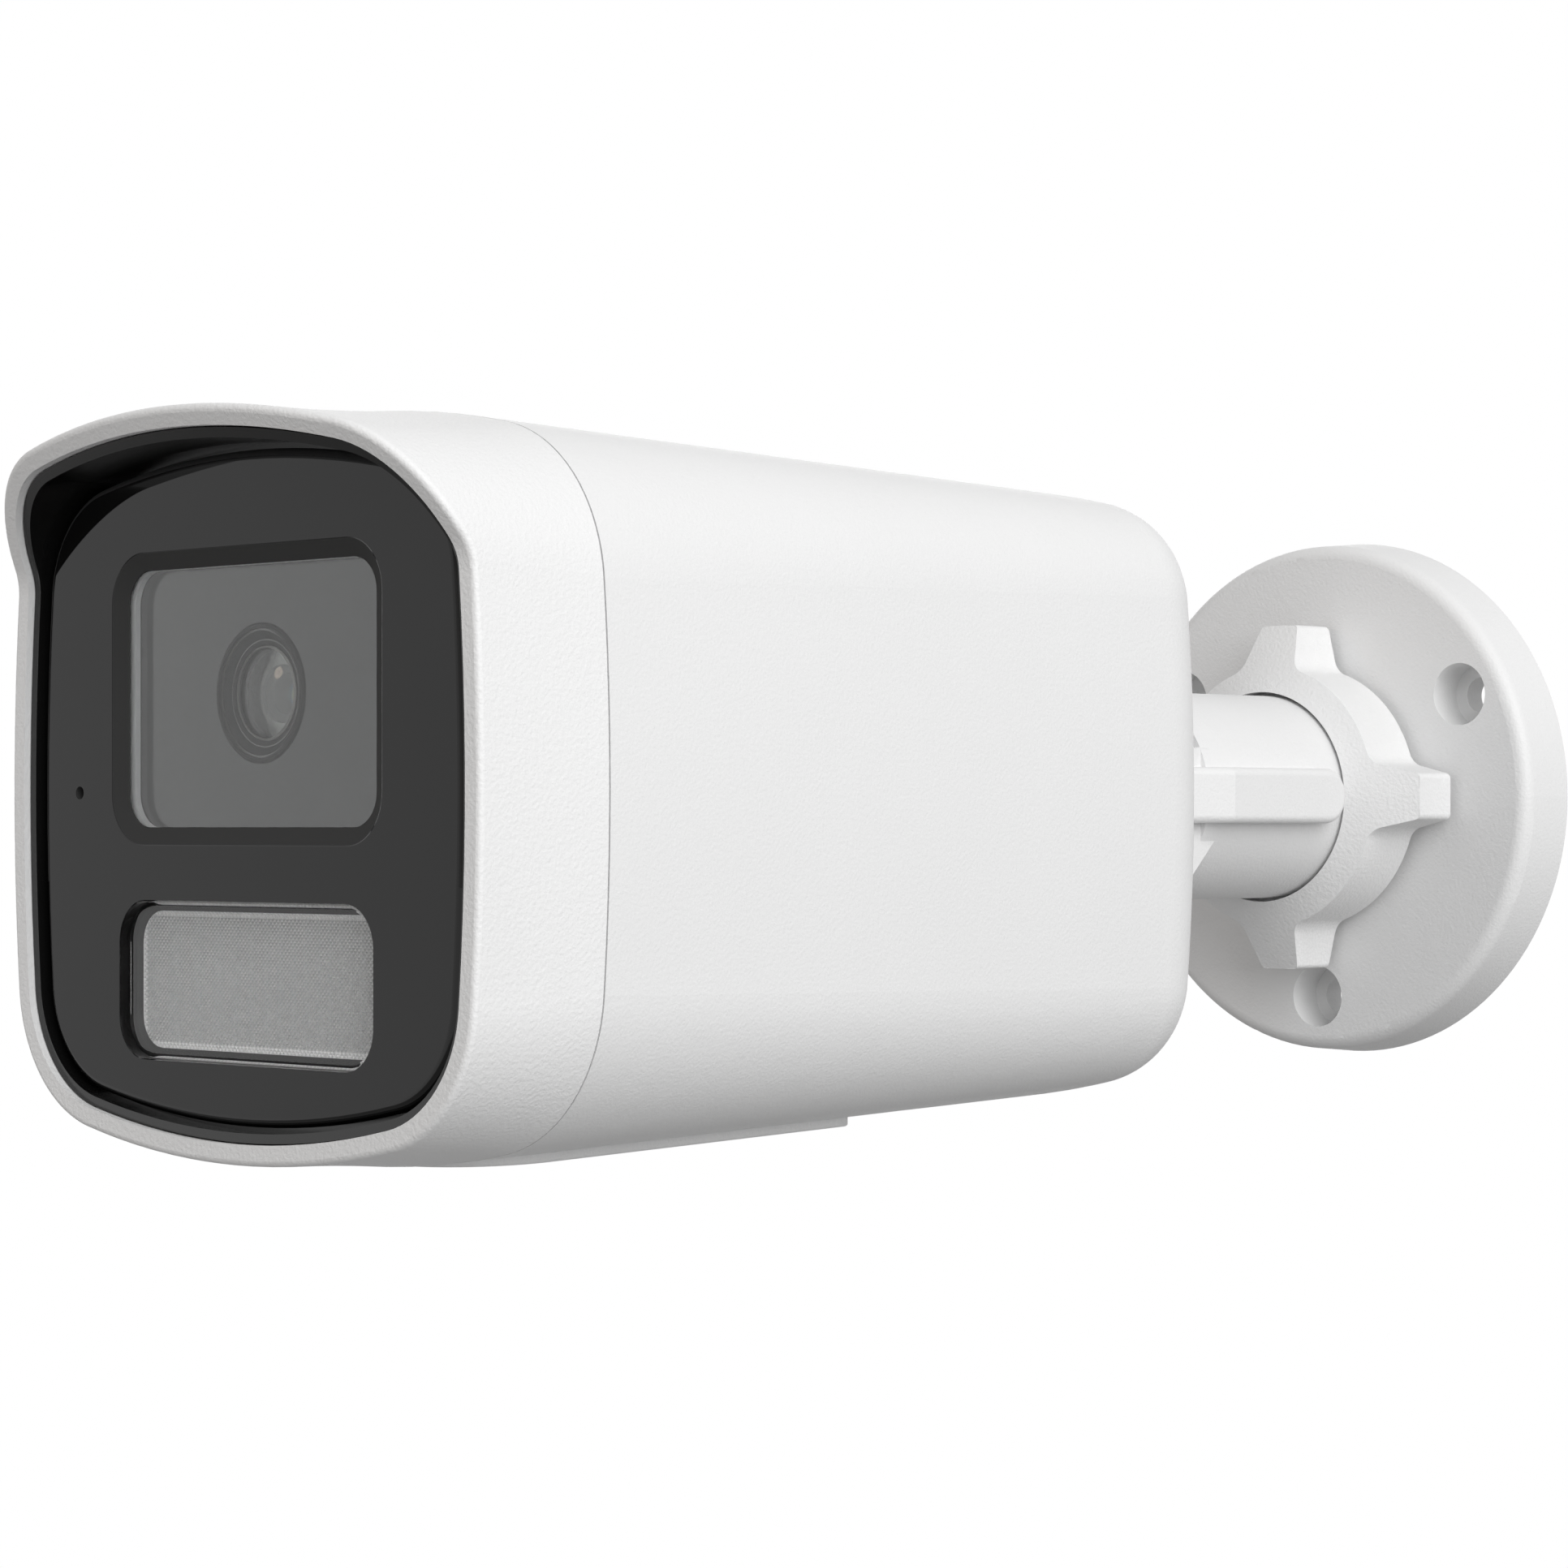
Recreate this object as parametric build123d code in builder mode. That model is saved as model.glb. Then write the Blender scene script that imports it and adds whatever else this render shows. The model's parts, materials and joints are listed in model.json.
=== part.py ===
"""Wall-mounted bullet security camera: bracket, tapered body, visor, lens, lamps and service bay.

The wall is the plane Y = 0 and the camera looks along -Y, with +Z up. A "reach" is a distance
out from the wall. Sizes are in millimetres.
"""

import os
from math import atan2, cos, hypot, sin, sqrt

from build123d import *

os.makedirs("parts", exist_ok=True)

# Fits and clearances
running_gap = 0.05
face_gap = 0.05
slip_gap = 0.15
clear_gap = 0.3

# Wall plate
base_radius = 34.2
base_front_radius = 33.5
base_thickness = 8.2
base_edge = 1.8
bolt_circle = 26.6
bolt_count = 3
first_bolt_angle = 30
bolt_hole = 2.3
bolt_sink = 4.05
bolt_sink_depth = 5.0
cable_bore = 8.0
hub_radius = 14.6
hub_height = 5.8

# Pan joint: washer, arm flange and lock ring
pan_washer_thickness = 1.0
flange_thickness = 2.4
ring_lip = 3.0
ring_opening = 13.8
ring_radius = 17.2
ring_cone_drop = 4.2
ring_base_gap = 1.0
ring_edge = 0.6
lobe_count = 4
lobe_radius = 22.7
lobe_tip_half = 2.9
lobe_centre_half = 8.4
lobe_root_fillet = 2.6
lobe_tip_fillet = 0.8

# Arm and fork
arm_gap = 0.5
rib_setback = 2.0
rib_half = 3.5
rib_proud = 2.7
rib_flat_length = 23.1
rib_run_out = 10.4
rib_edge = 1.0
ear_inner = 8.0
ear_thickness = 4.0
ear_radius = 10.5
ear_root_radius = 6.0
fork_depth = 12.5

# Tilt pivot, knuckle and roll neck
pivot_setback = 14.0
pivot_drop = 6.0
hub_of_knuckle = 9.5
tilt_washer_thickness = 0.45
tilt_washer_radius = 6.0
pivot_shoulder = 2.5
pivot_thread = 2.0
pivot_thread_length = 4.0
pivot_head = 4.2
pivot_head_height = 2.2
pivot_socket = 1.6
pivot_socket_depth = 1.2
knuckle_shoulder = 12.0
knuckle_shoulder_height = 2.4
neck_radius = 9.0
neck_bore = 4.5
neck_seal_depth = 1.3
neck_seal_width = 1.6
roll_washer_thickness = 0.8
roll_nut_radius = 13.5
roll_nut_height = 4.5
bushing_flange = 7.0
bushing_flange_height = 1.5
bushing_plug_length = 8.0
bushing_hole = 2.5

# Body outline: rear end, seam between housing and cover, and front rim
rear_reach = 74.0
housing_length = 99.5
cover_length = 16.3
visor_overhang = 9.4
visor_kink_height = 22.6
visor_kink_radius = 6.0
rear_half_width = 37.4
rear_half_height = 36.4
rear_corner = 12.2
seam_half_width = 39.9
seam_half_height = 39.7
seam_corner = 18.4
rim_half_width = 39.0
rim_half_height = 38.8
rim_corner = 16.0
side_bulge = 255.0
crown_bulge = 122.0
rear_round = 9.5
housing_wall = 2.5
rear_wall = 3.0
cover_wall = 2.2
cover_edge = 0.6
seam_gap = 0.2

# Joint between housing and cover
spigot_wall = 1.6
spigot_length = 5.5
spigot_root = 7.5
seal_setback = 2.0
seal_depth = 0.8
seal_width = 1.6
cover_boss_side_inset = 11.4
cover_boss_top_inset = 12.7
cover_boss = 4.4
cover_boss_length = 16.0
screw_shaft = 1.25
screw_head = 2.3
screw_head_height = 1.5
screw_socket_depth = 0.8
cover_screw_length = 15.0

# Front panel and its liner
lip_setback = 0.8
panel_setback = 1.4
panel_thickness = 3.0
panel_groove = 0.5
panel_edge = 1.1
liner_wall = 1.0
liner_flange_width = 3.0
liner_flange_thickness = 1.5
ledge_width = 2.8
ledge_thickness = 3.0
panel_screw_side = 8.0
panel_screw_edge = 2.4
panel_screw_shaft = 0.8
panel_screw_head = 1.25
panel_screw_head_height = 1.1
panel_screw_length = 3.5
panel_screw_ear = 1.9

# Lens window
window_half_width = 20.65
window_height = 9.6
window_top_margin = 15.6
window_corner = 3.6
window_bevel = 1.95
window_bevel_depth = 0.9
window_lip = 0.1
window_rim = 1.6
glass_thickness = 1.2

# Lens and sensor
lens_height = 9.9
lens_ring_radius = 7.2
lens_ring_setback = 2.7
lens_bell_depth = 4.0
lens_cup_radius = 5.9
lens_cup_depth = 1.2
lens_glass_radius = 4.9
lens_glass_crown = 1.1
lens_glass_thickness = 2.4
lens_thread_radius = 6.2
lens_bore = 4.0
lens_rear_count = 2
lens_rear_thickness = 1.6
lens_rear_pitch = 4.0
shroud_thickness = 1.5
shroud_margin = 3.0
shroud_skirt = 1.2
shroud_skirt_length = 4.5
shroud_overlap = 2.0
holder_half_width = 14.5
holder_half_height = 9.0
holder_height = 7.8
holder_neck = 8.2
holder_neck_length = 5.5
holder_floor = 2.6
filter_slot = 1.6
filter_stop = 0.6
filter_thickness = 1.2
filter_half_width = 8.6
filter_half_height = 5.0
filter_pitch = 8.2
filter_pane_radius = 3.4
filter_pane_thickness = 0.6
motor_half = 3.0
motor_height = 5.0
motor_corner = 0.8
sensor_half_width = 5.5
sensor_half_height = 4.6
sensor_thickness = 1.2
sensor_board_half_width = 19.0
sensor_board_half_height = 17.0
sensor_post_length = 4.0
board_thickness = 1.6

# Lamp module
light_half_width = 21.2
light_half_height = 8.45
light_bottom_margin = 10.2
light_corner = 4.5
light_setback = 0.9
light_bevel = 1.5
light_bevel_depth = 0.6
light_flange = 1.8
light_flange_thickness = 1.2
reflector_depth = 6.0
reflector_mouth = 4.4
reflector_throat = 2.2
lamp_count = 4
lamp_pitch = 10.2
lamp_half = 1.5
lamp_chip_thickness = 0.8
lamp_boss = 2.4
lamp_boss_place = 25.9
lamp_boss_rise = 3.0
lamp_board_margin = 1.2

# Microphone
mic_side_inset = 10.6
mic_height = -0.3
mic_hole = 0.7
mic_radius = 3.0
mic_thickness = 2.2
mic_boot_wall = 0.75
mic_boot_depth = 4.0

# Carrier plate, boards and their spacers
carrier_thickness = 2.0
carrier_low = -19.0
carrier_high = 27.0
carrier_boss = 3.5
carrier_boss_inset = 5.9
carrier_boss_height = 12.0
carrier_boss_length = 40.0
carrier_screw_length = 9.0
carrier_side_gap = 0.9
carrier_ear_half = 16.0
carrier_edge_inset = 8.9
board_edge_inset = 12.9
board_post = 2.6
board_post_length = 2.6
board_screw_inset = 4.0
board_edge_gap = 2.0
stud_radius = 1.15
stud_grip = 2.0
processor_half = 7.0
processor_thickness = 1.2
connector_half_width = 9.0
connector_half_height = 3.0
connector_depth = 5.0
coil_radius = 4.0
coil_height = 4.0
spacer_radius = 2.4
spacer_length = 14.0
transformer_half = 8.0
transformer_depth = 7.0
capacitor_radius = 4.0
capacitor_rise = 6.0
capacitor_length = 9.0

# Service bay and hatch on the underside
hatch_length = 58.0
hatch_front_inset = 5.5
hatch_half_width = 12.0
hatch_proud = 0.55
hatch_seat = 2.0
hatch_corner = 1.6
hatch_nose = 11.6
hatch_edge = 0.3
bay_half_width = 8.6
bay_end_inset = 10.5
bay_pad_thickness = 6.0
bay_pad_margin = 3.6
hatch_seal_margin = 0.9
hatch_seal_width = 1.2
hatch_seal_depth = 0.8
hatch_screw_inset = 5.0
hatch_screw_length = 5.0
service_board_low = -28.0
service_half_width = 15.5
service_end_gap = 1.5
service_post = 2.0
service_post_inset = 4.0
card_half_width = 5.5
card_length = 15.0
card_thickness = 1.0
card_showing = 2.0
card_gap = 0.1
socket_wall = 0.4
socket_side_wall = 1.4
socket_inset = 7.0
switch_half = 3.0
switch_height = 3.5
switch_inset = 8.0
button_radius = 1.6
button_length = 2.3
button_travel = 0.4

# Reaches and sizes that follow
hub_front = base_thickness + hub_height
flange_back = hub_front + pan_washer_thickness + face_gap
flange_front = flange_back + flange_thickness
ring_back = base_thickness + ring_base_gap
ring_front = flange_front + face_gap + ring_lip
ring_bore = hub_radius + slip_gap
arm_radius = ring_opening - arm_gap
pivot_reach = rear_reach - pivot_setback
pivot_height = -pivot_drop
arm_end = pivot_reach - fork_depth
ear_outer = ear_inner + ear_thickness
tongue_half = ear_inner - face_gap - tilt_washer_thickness
knuckle_face = rear_reach - clear_gap
shoulder_back = knuckle_face - knuckle_shoulder_height
rear_inside = rear_reach + rear_wall
roll_nut_back = rear_inside + roll_washer_thickness + 2 * face_gap
neck_end = roll_nut_back + roll_nut_height
seam_reach = rear_reach + housing_length
rim_reach = seam_reach + cover_length
tip_reach = rim_reach + visor_overhang
spigot_end = seam_reach + spigot_length
spigot_inset = cover_wall + slip_gap
panel_front = rim_reach - panel_setback
panel_back = panel_front - panel_thickness
ledge_front = panel_back - liner_flange_thickness
ledge_back = ledge_front - ledge_thickness
liner_inset = cover_wall + slip_gap
panel_inset = liner_inset + liner_wall + panel_groove
cover_boss_side = seam_half_width - cover_boss_side_inset
cover_boss_height = seam_half_height - cover_boss_top_inset
window_half_height = rim_half_height - window_top_margin - window_height
light_height = light_half_height + light_bottom_margin - rim_half_height
mic_side = mic_side_inset - rim_half_width
carrier_boss_place = seam_half_width - carrier_boss_inset
carrier_half_width = seam_half_width - carrier_edge_inset
board_half_width = seam_half_width - board_edge_inset
glass_front = panel_front - window_bevel_depth - window_lip - face_gap
glass_back = glass_front - glass_thickness
lens_ring_front = panel_front - lens_ring_setback
shroud_front = panel_back - face_gap
shroud_back = shroud_front - shroud_thickness
lens_bell_back = lens_ring_front - lens_bell_depth
holder_top = shroud_back - shroud_skirt_length + shroud_overlap
holder_shoulder = holder_top - holder_neck_length
sensor_face = holder_shoulder - holder_height
sensor_board_back = sensor_face - board_thickness
carrier_front = sensor_board_back - sensor_post_length
carrier_back = carrier_front - carrier_thickness
board_front = carrier_back - board_post_length
board_back = board_front - board_thickness
power_front = board_back - spacer_length
power_back = power_front - board_thickness
filter_floor = sensor_face + holder_floor
light_front = panel_front - light_setback
light_flange_back = panel_back - light_flange_thickness
reflector_back = light_flange_back - face_gap - reflector_depth
hatch_front = seam_reach - hatch_front_inset
hatch_rear = hatch_front - hatch_length
bay_rear = hatch_rear + bay_end_inset
bay_front = hatch_front - bay_end_inset
service_rear = bay_rear - service_end_gap
service_front = bay_front + service_end_gap
screw_hole = screw_shaft + running_gap
four_signs = [(1, 1), (-1, 1), (-1, -1), (1, -1)]


def between(reach, reach_a, size_a, reach_b, size_b):
    """Size at a reach on the straight line through two sizes."""
    return size_a + (size_b - size_a) * (reach - reach_a) / (reach_b - reach_a)


def housing_size(reach):
    """Half width, half height and corner radius of the tapered housing."""
    return (
        between(reach, rear_reach, rear_half_width, seam_reach, seam_half_width),
        between(reach, rear_reach, rear_half_height, seam_reach, seam_half_height),
        between(reach, rear_reach, rear_corner, seam_reach, seam_corner),
    )


def cover_size(reach):
    """Half width, half height and corner radius of the front cover, level along its visor."""
    reach = min(reach, rim_reach)
    return (
        between(reach, seam_reach, seam_half_width, rim_reach, rim_half_width),
        between(reach, seam_reach, seam_half_height, rim_reach, rim_half_height),
        between(reach, seam_reach, seam_corner, rim_reach, rim_corner),
    )


def bulged_square(size, inset=0.0):
    """Rounded square with bulged sides, drawn as eight tangent arcs and set in from its outline."""
    half_width, half_height, corner = size
    side_centre = half_width - side_bulge
    crown_centre = half_height - crown_bulge
    side_run = side_bulge - corner
    crown_run = crown_bulge - corner
    span = hypot(side_centre, crown_centre)
    along = (side_run**2 - crown_run**2 + span**2) / (2 * span)
    off = sqrt(side_run**2 - along**2)
    ux, uz = -side_centre / span, crown_centre / span
    corner_x = side_centre + along * ux - off * uz
    corner_z = along * uz + off * ux
    side_turn = atan2(corner_z, corner_x - side_centre)
    crown_turn = atan2(corner_z - crown_centre, corner_x)
    middle_turn = (side_turn + crown_turn) / 2
    radius = corner - inset
    start_x, start_z = corner_x + radius * cos(side_turn), corner_z + radius * sin(side_turn)
    middle_x, middle_z = corner_x + radius * cos(middle_turn), corner_z + radius * sin(middle_turn)
    end_x, end_z = corner_x + radius * cos(crown_turn), corner_z + radius * sin(crown_turn)
    with BuildLine() as outline:
        ThreePointArc((start_x, -start_z), (half_width - inset, 0), (start_x, start_z))
        ThreePointArc((start_x, start_z), (middle_x, middle_z), (end_x, end_z))
        ThreePointArc((end_x, end_z), (0, half_height - inset), (-end_x, end_z))
        ThreePointArc((-end_x, end_z), (-middle_x, middle_z), (-start_x, start_z))
        ThreePointArc((-start_x, start_z), (inset - half_width, 0), (-start_x, -start_z))
        ThreePointArc((-start_x, -start_z), (-middle_x, -middle_z), (-end_x, -end_z))
        ThreePointArc((-end_x, -end_z), (0, inset - half_height), (end_x, -end_z))
        ThreePointArc((end_x, -end_z), (middle_x, -middle_z), (start_x, -start_z))
    make_face(outline.edges())


def tapered(size_at, reach_a, reach_b, inset, mode=Mode.ADD):
    """Solid between two sections of the body, set in from its outside."""
    with BuildSketch(Plane.XZ.offset(reach_a)) as rear_section:
        bulged_square(size_at(reach_a), inset)
    with BuildSketch(Plane.XZ.offset(reach_b)) as front_section:
        bulged_square(size_at(reach_b), inset)
    loft([rear_section.sketch, front_section.sketch], ruled=True, mode=mode)


def straight(size, reach, length, inset, mode=Mode.ADD):
    """Solid with one section of the body along its whole length."""
    with BuildSketch(Plane.XZ.offset(reach)) as section:
        bulged_square(size, inset)
    extrude(section.sketch, amount=length, mode=mode)


def disc(reach, radius, length, places=((0, 0),), mode=Mode.ADD):
    """Round pieces along the camera axis, from a reach outwards."""
    with BuildSketch(Plane.XZ.offset(reach)) as profile:
        with Locations(*places):
            Circle(radius)
    extrude(profile.sketch, amount=length, mode=mode)


def collar(reach, radius, bore, length, place=(0, 0), mode=Mode.ADD):
    """Flat ring along the camera axis, from a reach outwards."""
    with BuildSketch(Plane.XZ.offset(reach)) as profile:
        with Locations(place):
            Circle(radius)
            Circle(bore, mode=Mode.SUBTRACT)
    extrude(profile.sketch, amount=length, mode=mode)


def block(reach, half_width, half_height, length, places=((0, 0),), corner=0.0, mode=Mode.ADD):
    """Boxes along the camera axis, from a reach outwards, with their long edges rounded if asked."""
    with BuildSketch(Plane.XZ.offset(reach)) as profile:
        with Locations(*places):
            if corner:
                RectangleRounded(2 * half_width, 2 * half_height, corner)
            else:
                Rectangle(2 * half_width, 2 * half_height)
    extrude(profile.sketch, amount=length, mode=mode)


def cross_disc(side, radius, length, mode=Mode.ADD):
    """Round piece on the tilt pivot, from a side distance towards +X."""
    with BuildSketch(Plane.YZ.offset(side)) as profile:
        with Locations((-pivot_reach, pivot_height)):
            Circle(radius)
    extrude(profile.sketch, amount=length, mode=mode)


def upright_disc(height, radius, length, places, mode=Mode.ADD):
    """Round pieces along Z, from a height upwards, at (side, reach) places."""
    with BuildSketch(Plane.XY.offset(height)) as profile:
        with Locations(*[(side, -reach) for side, reach in places]):
            Circle(radius)
    extrude(profile.sketch, amount=length, mode=mode)


def upright_block(height, half_width, reach_a, reach_b, length, mode=Mode.ADD):
    """Box with a level underside between two reaches."""
    with BuildSketch(Plane.XY.offset(height)) as profile:
        with Locations((0, -(reach_a + reach_b) / 2)):
            Rectangle(2 * half_width, reach_b - reach_a)
    extrude(profile.sketch, amount=length, mode=mode)


def underside_slab(half_width, reach_a, reach_b, deep, proud, mode=Mode.ADD):
    """Slab along the housing's sloping underside, from a depth inside it to a height proud of it."""
    sections = []
    for reach in (reach_a, reach_b):
        with BuildSketch(Plane.XZ.offset(reach)) as section:
            with Locations((0, (deep - proud) / 2 - housing_size(reach)[1])):
                Rectangle(2 * half_width, deep + proud)
        sections.append(section.sketch)
    loft(sections, ruled=True, mode=mode)


def axial_screws(seat, facing, head, head_height, shaft, length, places):
    """Cap screws along the camera axis: heads stand on the seat and face forwards (1) or back (-1)."""
    disc(seat, head, facing * head_height, places)
    disc(seat, shaft, -facing * length, places)
    with BuildSketch(Plane.XZ.offset(seat + facing * head_height)) as socket:
        with Locations(*places):
            RegularPolygon(head / 2, 6)
    extrude(socket.sketch, amount=-facing * screw_socket_depth, mode=Mode.SUBTRACT)


def visor_front(setback):
    """Cuts the front to the rim plane below the visor and to its sloping edge above."""
    rim = setback - rim_reach
    tip = setback - tip_reach
    ahead = -(tip_reach + rim_half_width)
    top = 2 * rim_half_height
    slope = (tip - rim) / (rim_half_height - visor_kink_height)
    with BuildSketch(Plane.YZ) as profile:
        with BuildLine():
            edge = FilletPolyline(
                (rim, -top),
                (rim, visor_kink_height),
                (rim + slope * (top - visor_kink_height), top),
                radius=visor_kink_radius,
            )
            Polyline(edge @ 1, (ahead, top), (ahead, -top), edge @ 0)
        make_face()
    extrude(profile.sketch, amount=2 * rim_half_width, both=True, mode=Mode.SUBTRACT)


def round_plan(slab, rear_corner_radius, nose_radius):
    """Rounds a slab's upright edges: small corners at the rear and a broad nose at the front."""
    upright = slab.edges().filter_by(Axis.Z).group_by(Axis.Y)
    fillet(upright[-1], rear_corner_radius)
    nose = slab.edges().filter_by(Axis.Z).group_by(Axis.Y)[0]
    fillet(nose, nose_radius)


def hatch_screw_seat(reach):
    """Height of the seat in the hatch under a captive screw's head."""
    return screw_head_height + slip_gap - hatch_proud - housing_size(reach)[1]


def lens_revolve(points, mode=Mode.ADD):
    """Turned piece on the lens axis, from (radius, reach) points."""
    with BuildSketch(Plane.XY.offset(lens_height)) as profile:
        Polygon(*[(radius, -reach) for radius, reach in points], align=None)
    revolve(profile.sketch, axis=lens_axis, mode=mode)


# Bracket: wall plate
with BuildPart() as base_plate:
    with BuildSketch(Plane.XZ):
        Circle(base_radius)
    with BuildSketch(Plane.XZ.offset(base_thickness)):
        Circle(base_front_radius)
    loft(ruled=True)
    fillet(base_plate.edges().sort_by(Axis.Y)[0], base_edge)
    disc(base_thickness, hub_radius, hub_height)
    disc(0, cable_bore, hub_front, mode=Mode.SUBTRACT)
    with BuildSketch(Plane.XZ):
        with PolarLocations(bolt_circle, bolt_count, first_bolt_angle):
            Circle(bolt_hole)
    extrude(amount=base_thickness, mode=Mode.SUBTRACT)
    with BuildSketch(Plane.XZ.offset(base_thickness - bolt_sink_depth)):
        with PolarLocations(bolt_circle, bolt_count, first_bolt_angle):
            Circle(bolt_sink)
    extrude(amount=bolt_sink_depth, mode=Mode.SUBTRACT)

with BuildPart() as pan_washer:
    collar(hub_front, hub_radius - slip_gap, cable_bore, pan_washer_thickness)

# Bracket: lock ring with its finger lobes
with BuildPart() as lock_ring:
    with BuildSketch(Plane.XZ.offset(ring_back)) as ring_outline:
        Circle(ring_radius)
        with PolarLocations(0, lobe_count):
            Polygon(
                (0, -lobe_centre_half),
                (lobe_radius, -lobe_tip_half),
                (lobe_radius, lobe_tip_half),
                (0, lobe_centre_half),
                align=None,
            )
        tips = ring_outline.vertices().filter_by(lambda corner: Vector(corner).length > lobe_radius)
        fillet(tips, lobe_tip_fillet)
        on_circle = ring_outline.vertices().filter_by(
            lambda corner: abs(Vector(corner).length - ring_radius) < face_gap
        )
        fillet(on_circle, lobe_root_fillet)
    extrude(amount=ring_front - ring_back)
    with BuildSketch(Plane.XY):
        Polygon(
            (ring_opening, -ring_front),
            (lobe_radius, -ring_front + ring_cone_drop),
            (lobe_radius + ring_lip, -ring_front + ring_cone_drop),
            (lobe_radius + ring_lip, -ring_front - ring_lip),
            (ring_opening, -ring_front - ring_lip),
            align=None,
        )
    revolve(axis=Axis.Y, mode=Mode.SUBTRACT)
    fillet(lock_ring.faces().sort_by(Axis.Y)[0].edges(), ring_edge)
    fillet(lock_ring.faces().sort_by(Axis.Y)[-1].edges(), ring_edge)
    disc(ring_back, ring_bore, flange_front + face_gap - ring_back, mode=Mode.SUBTRACT)
    disc(ring_back, ring_opening, ring_front - ring_back, mode=Mode.SUBTRACT)

# Bracket: pan arm with side ribs and the fork that carries the camera
rib_back = ring_front + rib_setback
rib_flat_end = rib_back + rib_flat_length
rib_end = rib_flat_end + rib_run_out
rib_side = arm_radius + rib_proud
head_pocket = pivot_head_height + slip_gap
with BuildPart() as pan_arm:
    with BuildSketch(Plane.YZ):
        with Locations((-(rib_back + rib_end + 2 * rib_half) / 2, 0)):
            SlotOverall(rib_end - rib_back + 2 * rib_half, 2 * rib_half)
    extrude(amount=rib_side, both=True)
    with BuildSketch(Plane.XY):
        for side in (1, -1):
            Polygon(
                (side * rib_side, -rib_flat_end),
                (side * ear_outer, -rib_end),
                (side * ear_outer, -rear_reach),
                (side * rib_side, -rear_reach),
                align=None,
            )
    extrude(amount=rib_half, both=True, mode=Mode.SUBTRACT)
    rib_outside = pan_arm.faces().filter_by(lambda face: abs(face.center().X) > ear_outer + face_gap)
    fillet(rib_outside.filter_by(GeomType.PLANE).edges().filter_by(Axis.Z, reverse=True), rib_edge)
    disc(flange_back, hub_radius, flange_thickness)
    disc(flange_back, arm_radius, arm_end - flange_back)
    for side in (ear_inner, -ear_outer):
        with BuildSketch(Plane.YZ.offset(side)):
            with Locations((-arm_end, 0)):
                Circle(ear_root_radius)
            with Locations((-pivot_reach, pivot_height)):
                Circle(ear_radius)
            make_hull()
        extrude(amount=ear_thickness)
    block(arm_end, ear_inner, 2 * arm_radius, 2 * fork_depth, mode=Mode.SUBTRACT)
    disc(flange_back, cable_bore, arm_end - flange_back, mode=Mode.SUBTRACT)
    cross_disc(-ear_outer, pivot_shoulder + running_gap, 2 * ear_outer, mode=Mode.SUBTRACT)
    for side in (ear_outer - head_pocket, -ear_outer):
        cross_disc(side, pivot_head + clear_gap, head_pocket, mode=Mode.SUBTRACT)

# Bracket: tilt knuckle and its pivot hardware
neck_seal_back = rear_reach + (rear_wall - neck_seal_width) / 2
neck_seal_floor = neck_radius - neck_seal_depth
with BuildPart() as tilt_knuckle:
    with BuildSketch(Plane.YZ.offset(-tongue_half)):
        with Locations((-pivot_reach, pivot_height)):
            Circle(hub_of_knuckle)
        with Locations((-shoulder_back, 0)):
            Rectangle(2 * clear_gap, 2 * neck_radius)
        make_hull()
    extrude(amount=2 * tongue_half)
    disc(shoulder_back, knuckle_shoulder, knuckle_shoulder_height)
    disc(knuckle_face, neck_radius, neck_end - knuckle_face)
    disc(
        pivot_reach - hub_of_knuckle, neck_bore, neck_end - pivot_reach + hub_of_knuckle, mode=Mode.SUBTRACT
    )
    collar(neck_seal_back, neck_radius + clear_gap, neck_seal_floor, neck_seal_width, mode=Mode.SUBTRACT)
    for side in (tongue_half - pivot_thread_length, -tongue_half):
        cross_disc(side, pivot_thread + running_gap, pivot_thread_length, mode=Mode.SUBTRACT)

with BuildPart() as neck_seal:
    collar(
        neck_seal_back + face_gap,
        neck_radius,
        neck_seal_floor + running_gap,
        neck_seal_width - 2 * face_gap,
    )

pivot_seat = ear_outer - head_pocket + face_gap
with BuildPart() as tilt_screws:
    for facing in (1, -1):
        cross_disc(facing * pivot_seat, pivot_head, facing * pivot_head_height)
        cross_disc(facing * tongue_half, pivot_shoulder, facing * (pivot_seat - tongue_half))
        cross_disc(facing * tongue_half, pivot_thread, -facing * (pivot_thread_length - slip_gap))
        with BuildSketch(Plane.YZ.offset(facing * (pivot_seat + pivot_head_height))):
            with Locations((-pivot_reach, pivot_height)):
                RegularPolygon(pivot_socket, 6)
        extrude(amount=-facing * pivot_socket_depth, mode=Mode.SUBTRACT)

with BuildPart() as tilt_washers:
    for side in (tongue_half, -tongue_half - tilt_washer_thickness):
        cross_disc(side, tilt_washer_radius, tilt_washer_thickness)
        cross_disc(side, pivot_shoulder + slip_gap, tilt_washer_thickness, mode=Mode.SUBTRACT)

with BuildPart() as roll_washer:
    collar(rear_inside + face_gap, roll_nut_radius, neck_radius + slip_gap, roll_washer_thickness)

with BuildPart() as roll_nut:
    with BuildSketch(Plane.XZ.offset(roll_nut_back)):
        RegularPolygon(roll_nut_radius, 6)
        Circle(neck_radius + running_gap, mode=Mode.SUBTRACT)
    extrude(amount=roll_nut_height)

bushing_back = neck_end - bushing_plug_length
with BuildPart() as cable_bushing:
    disc(neck_end, bushing_flange, bushing_flange_height)
    disc(bushing_back, neck_bore - running_gap, bushing_plug_length)
    disc(bushing_back, bushing_hole, bushing_plug_length + bushing_flange_height, mode=Mode.SUBTRACT)

# Body: spaces taken out of the rear housing
with BuildPart() as housing_hollow:
    tapered(housing_size, rear_inside, seam_reach, housing_wall)
    fillet(housing_hollow.faces().sort_by(Axis.Y)[-1].edges(), rear_round - rear_wall)

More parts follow.
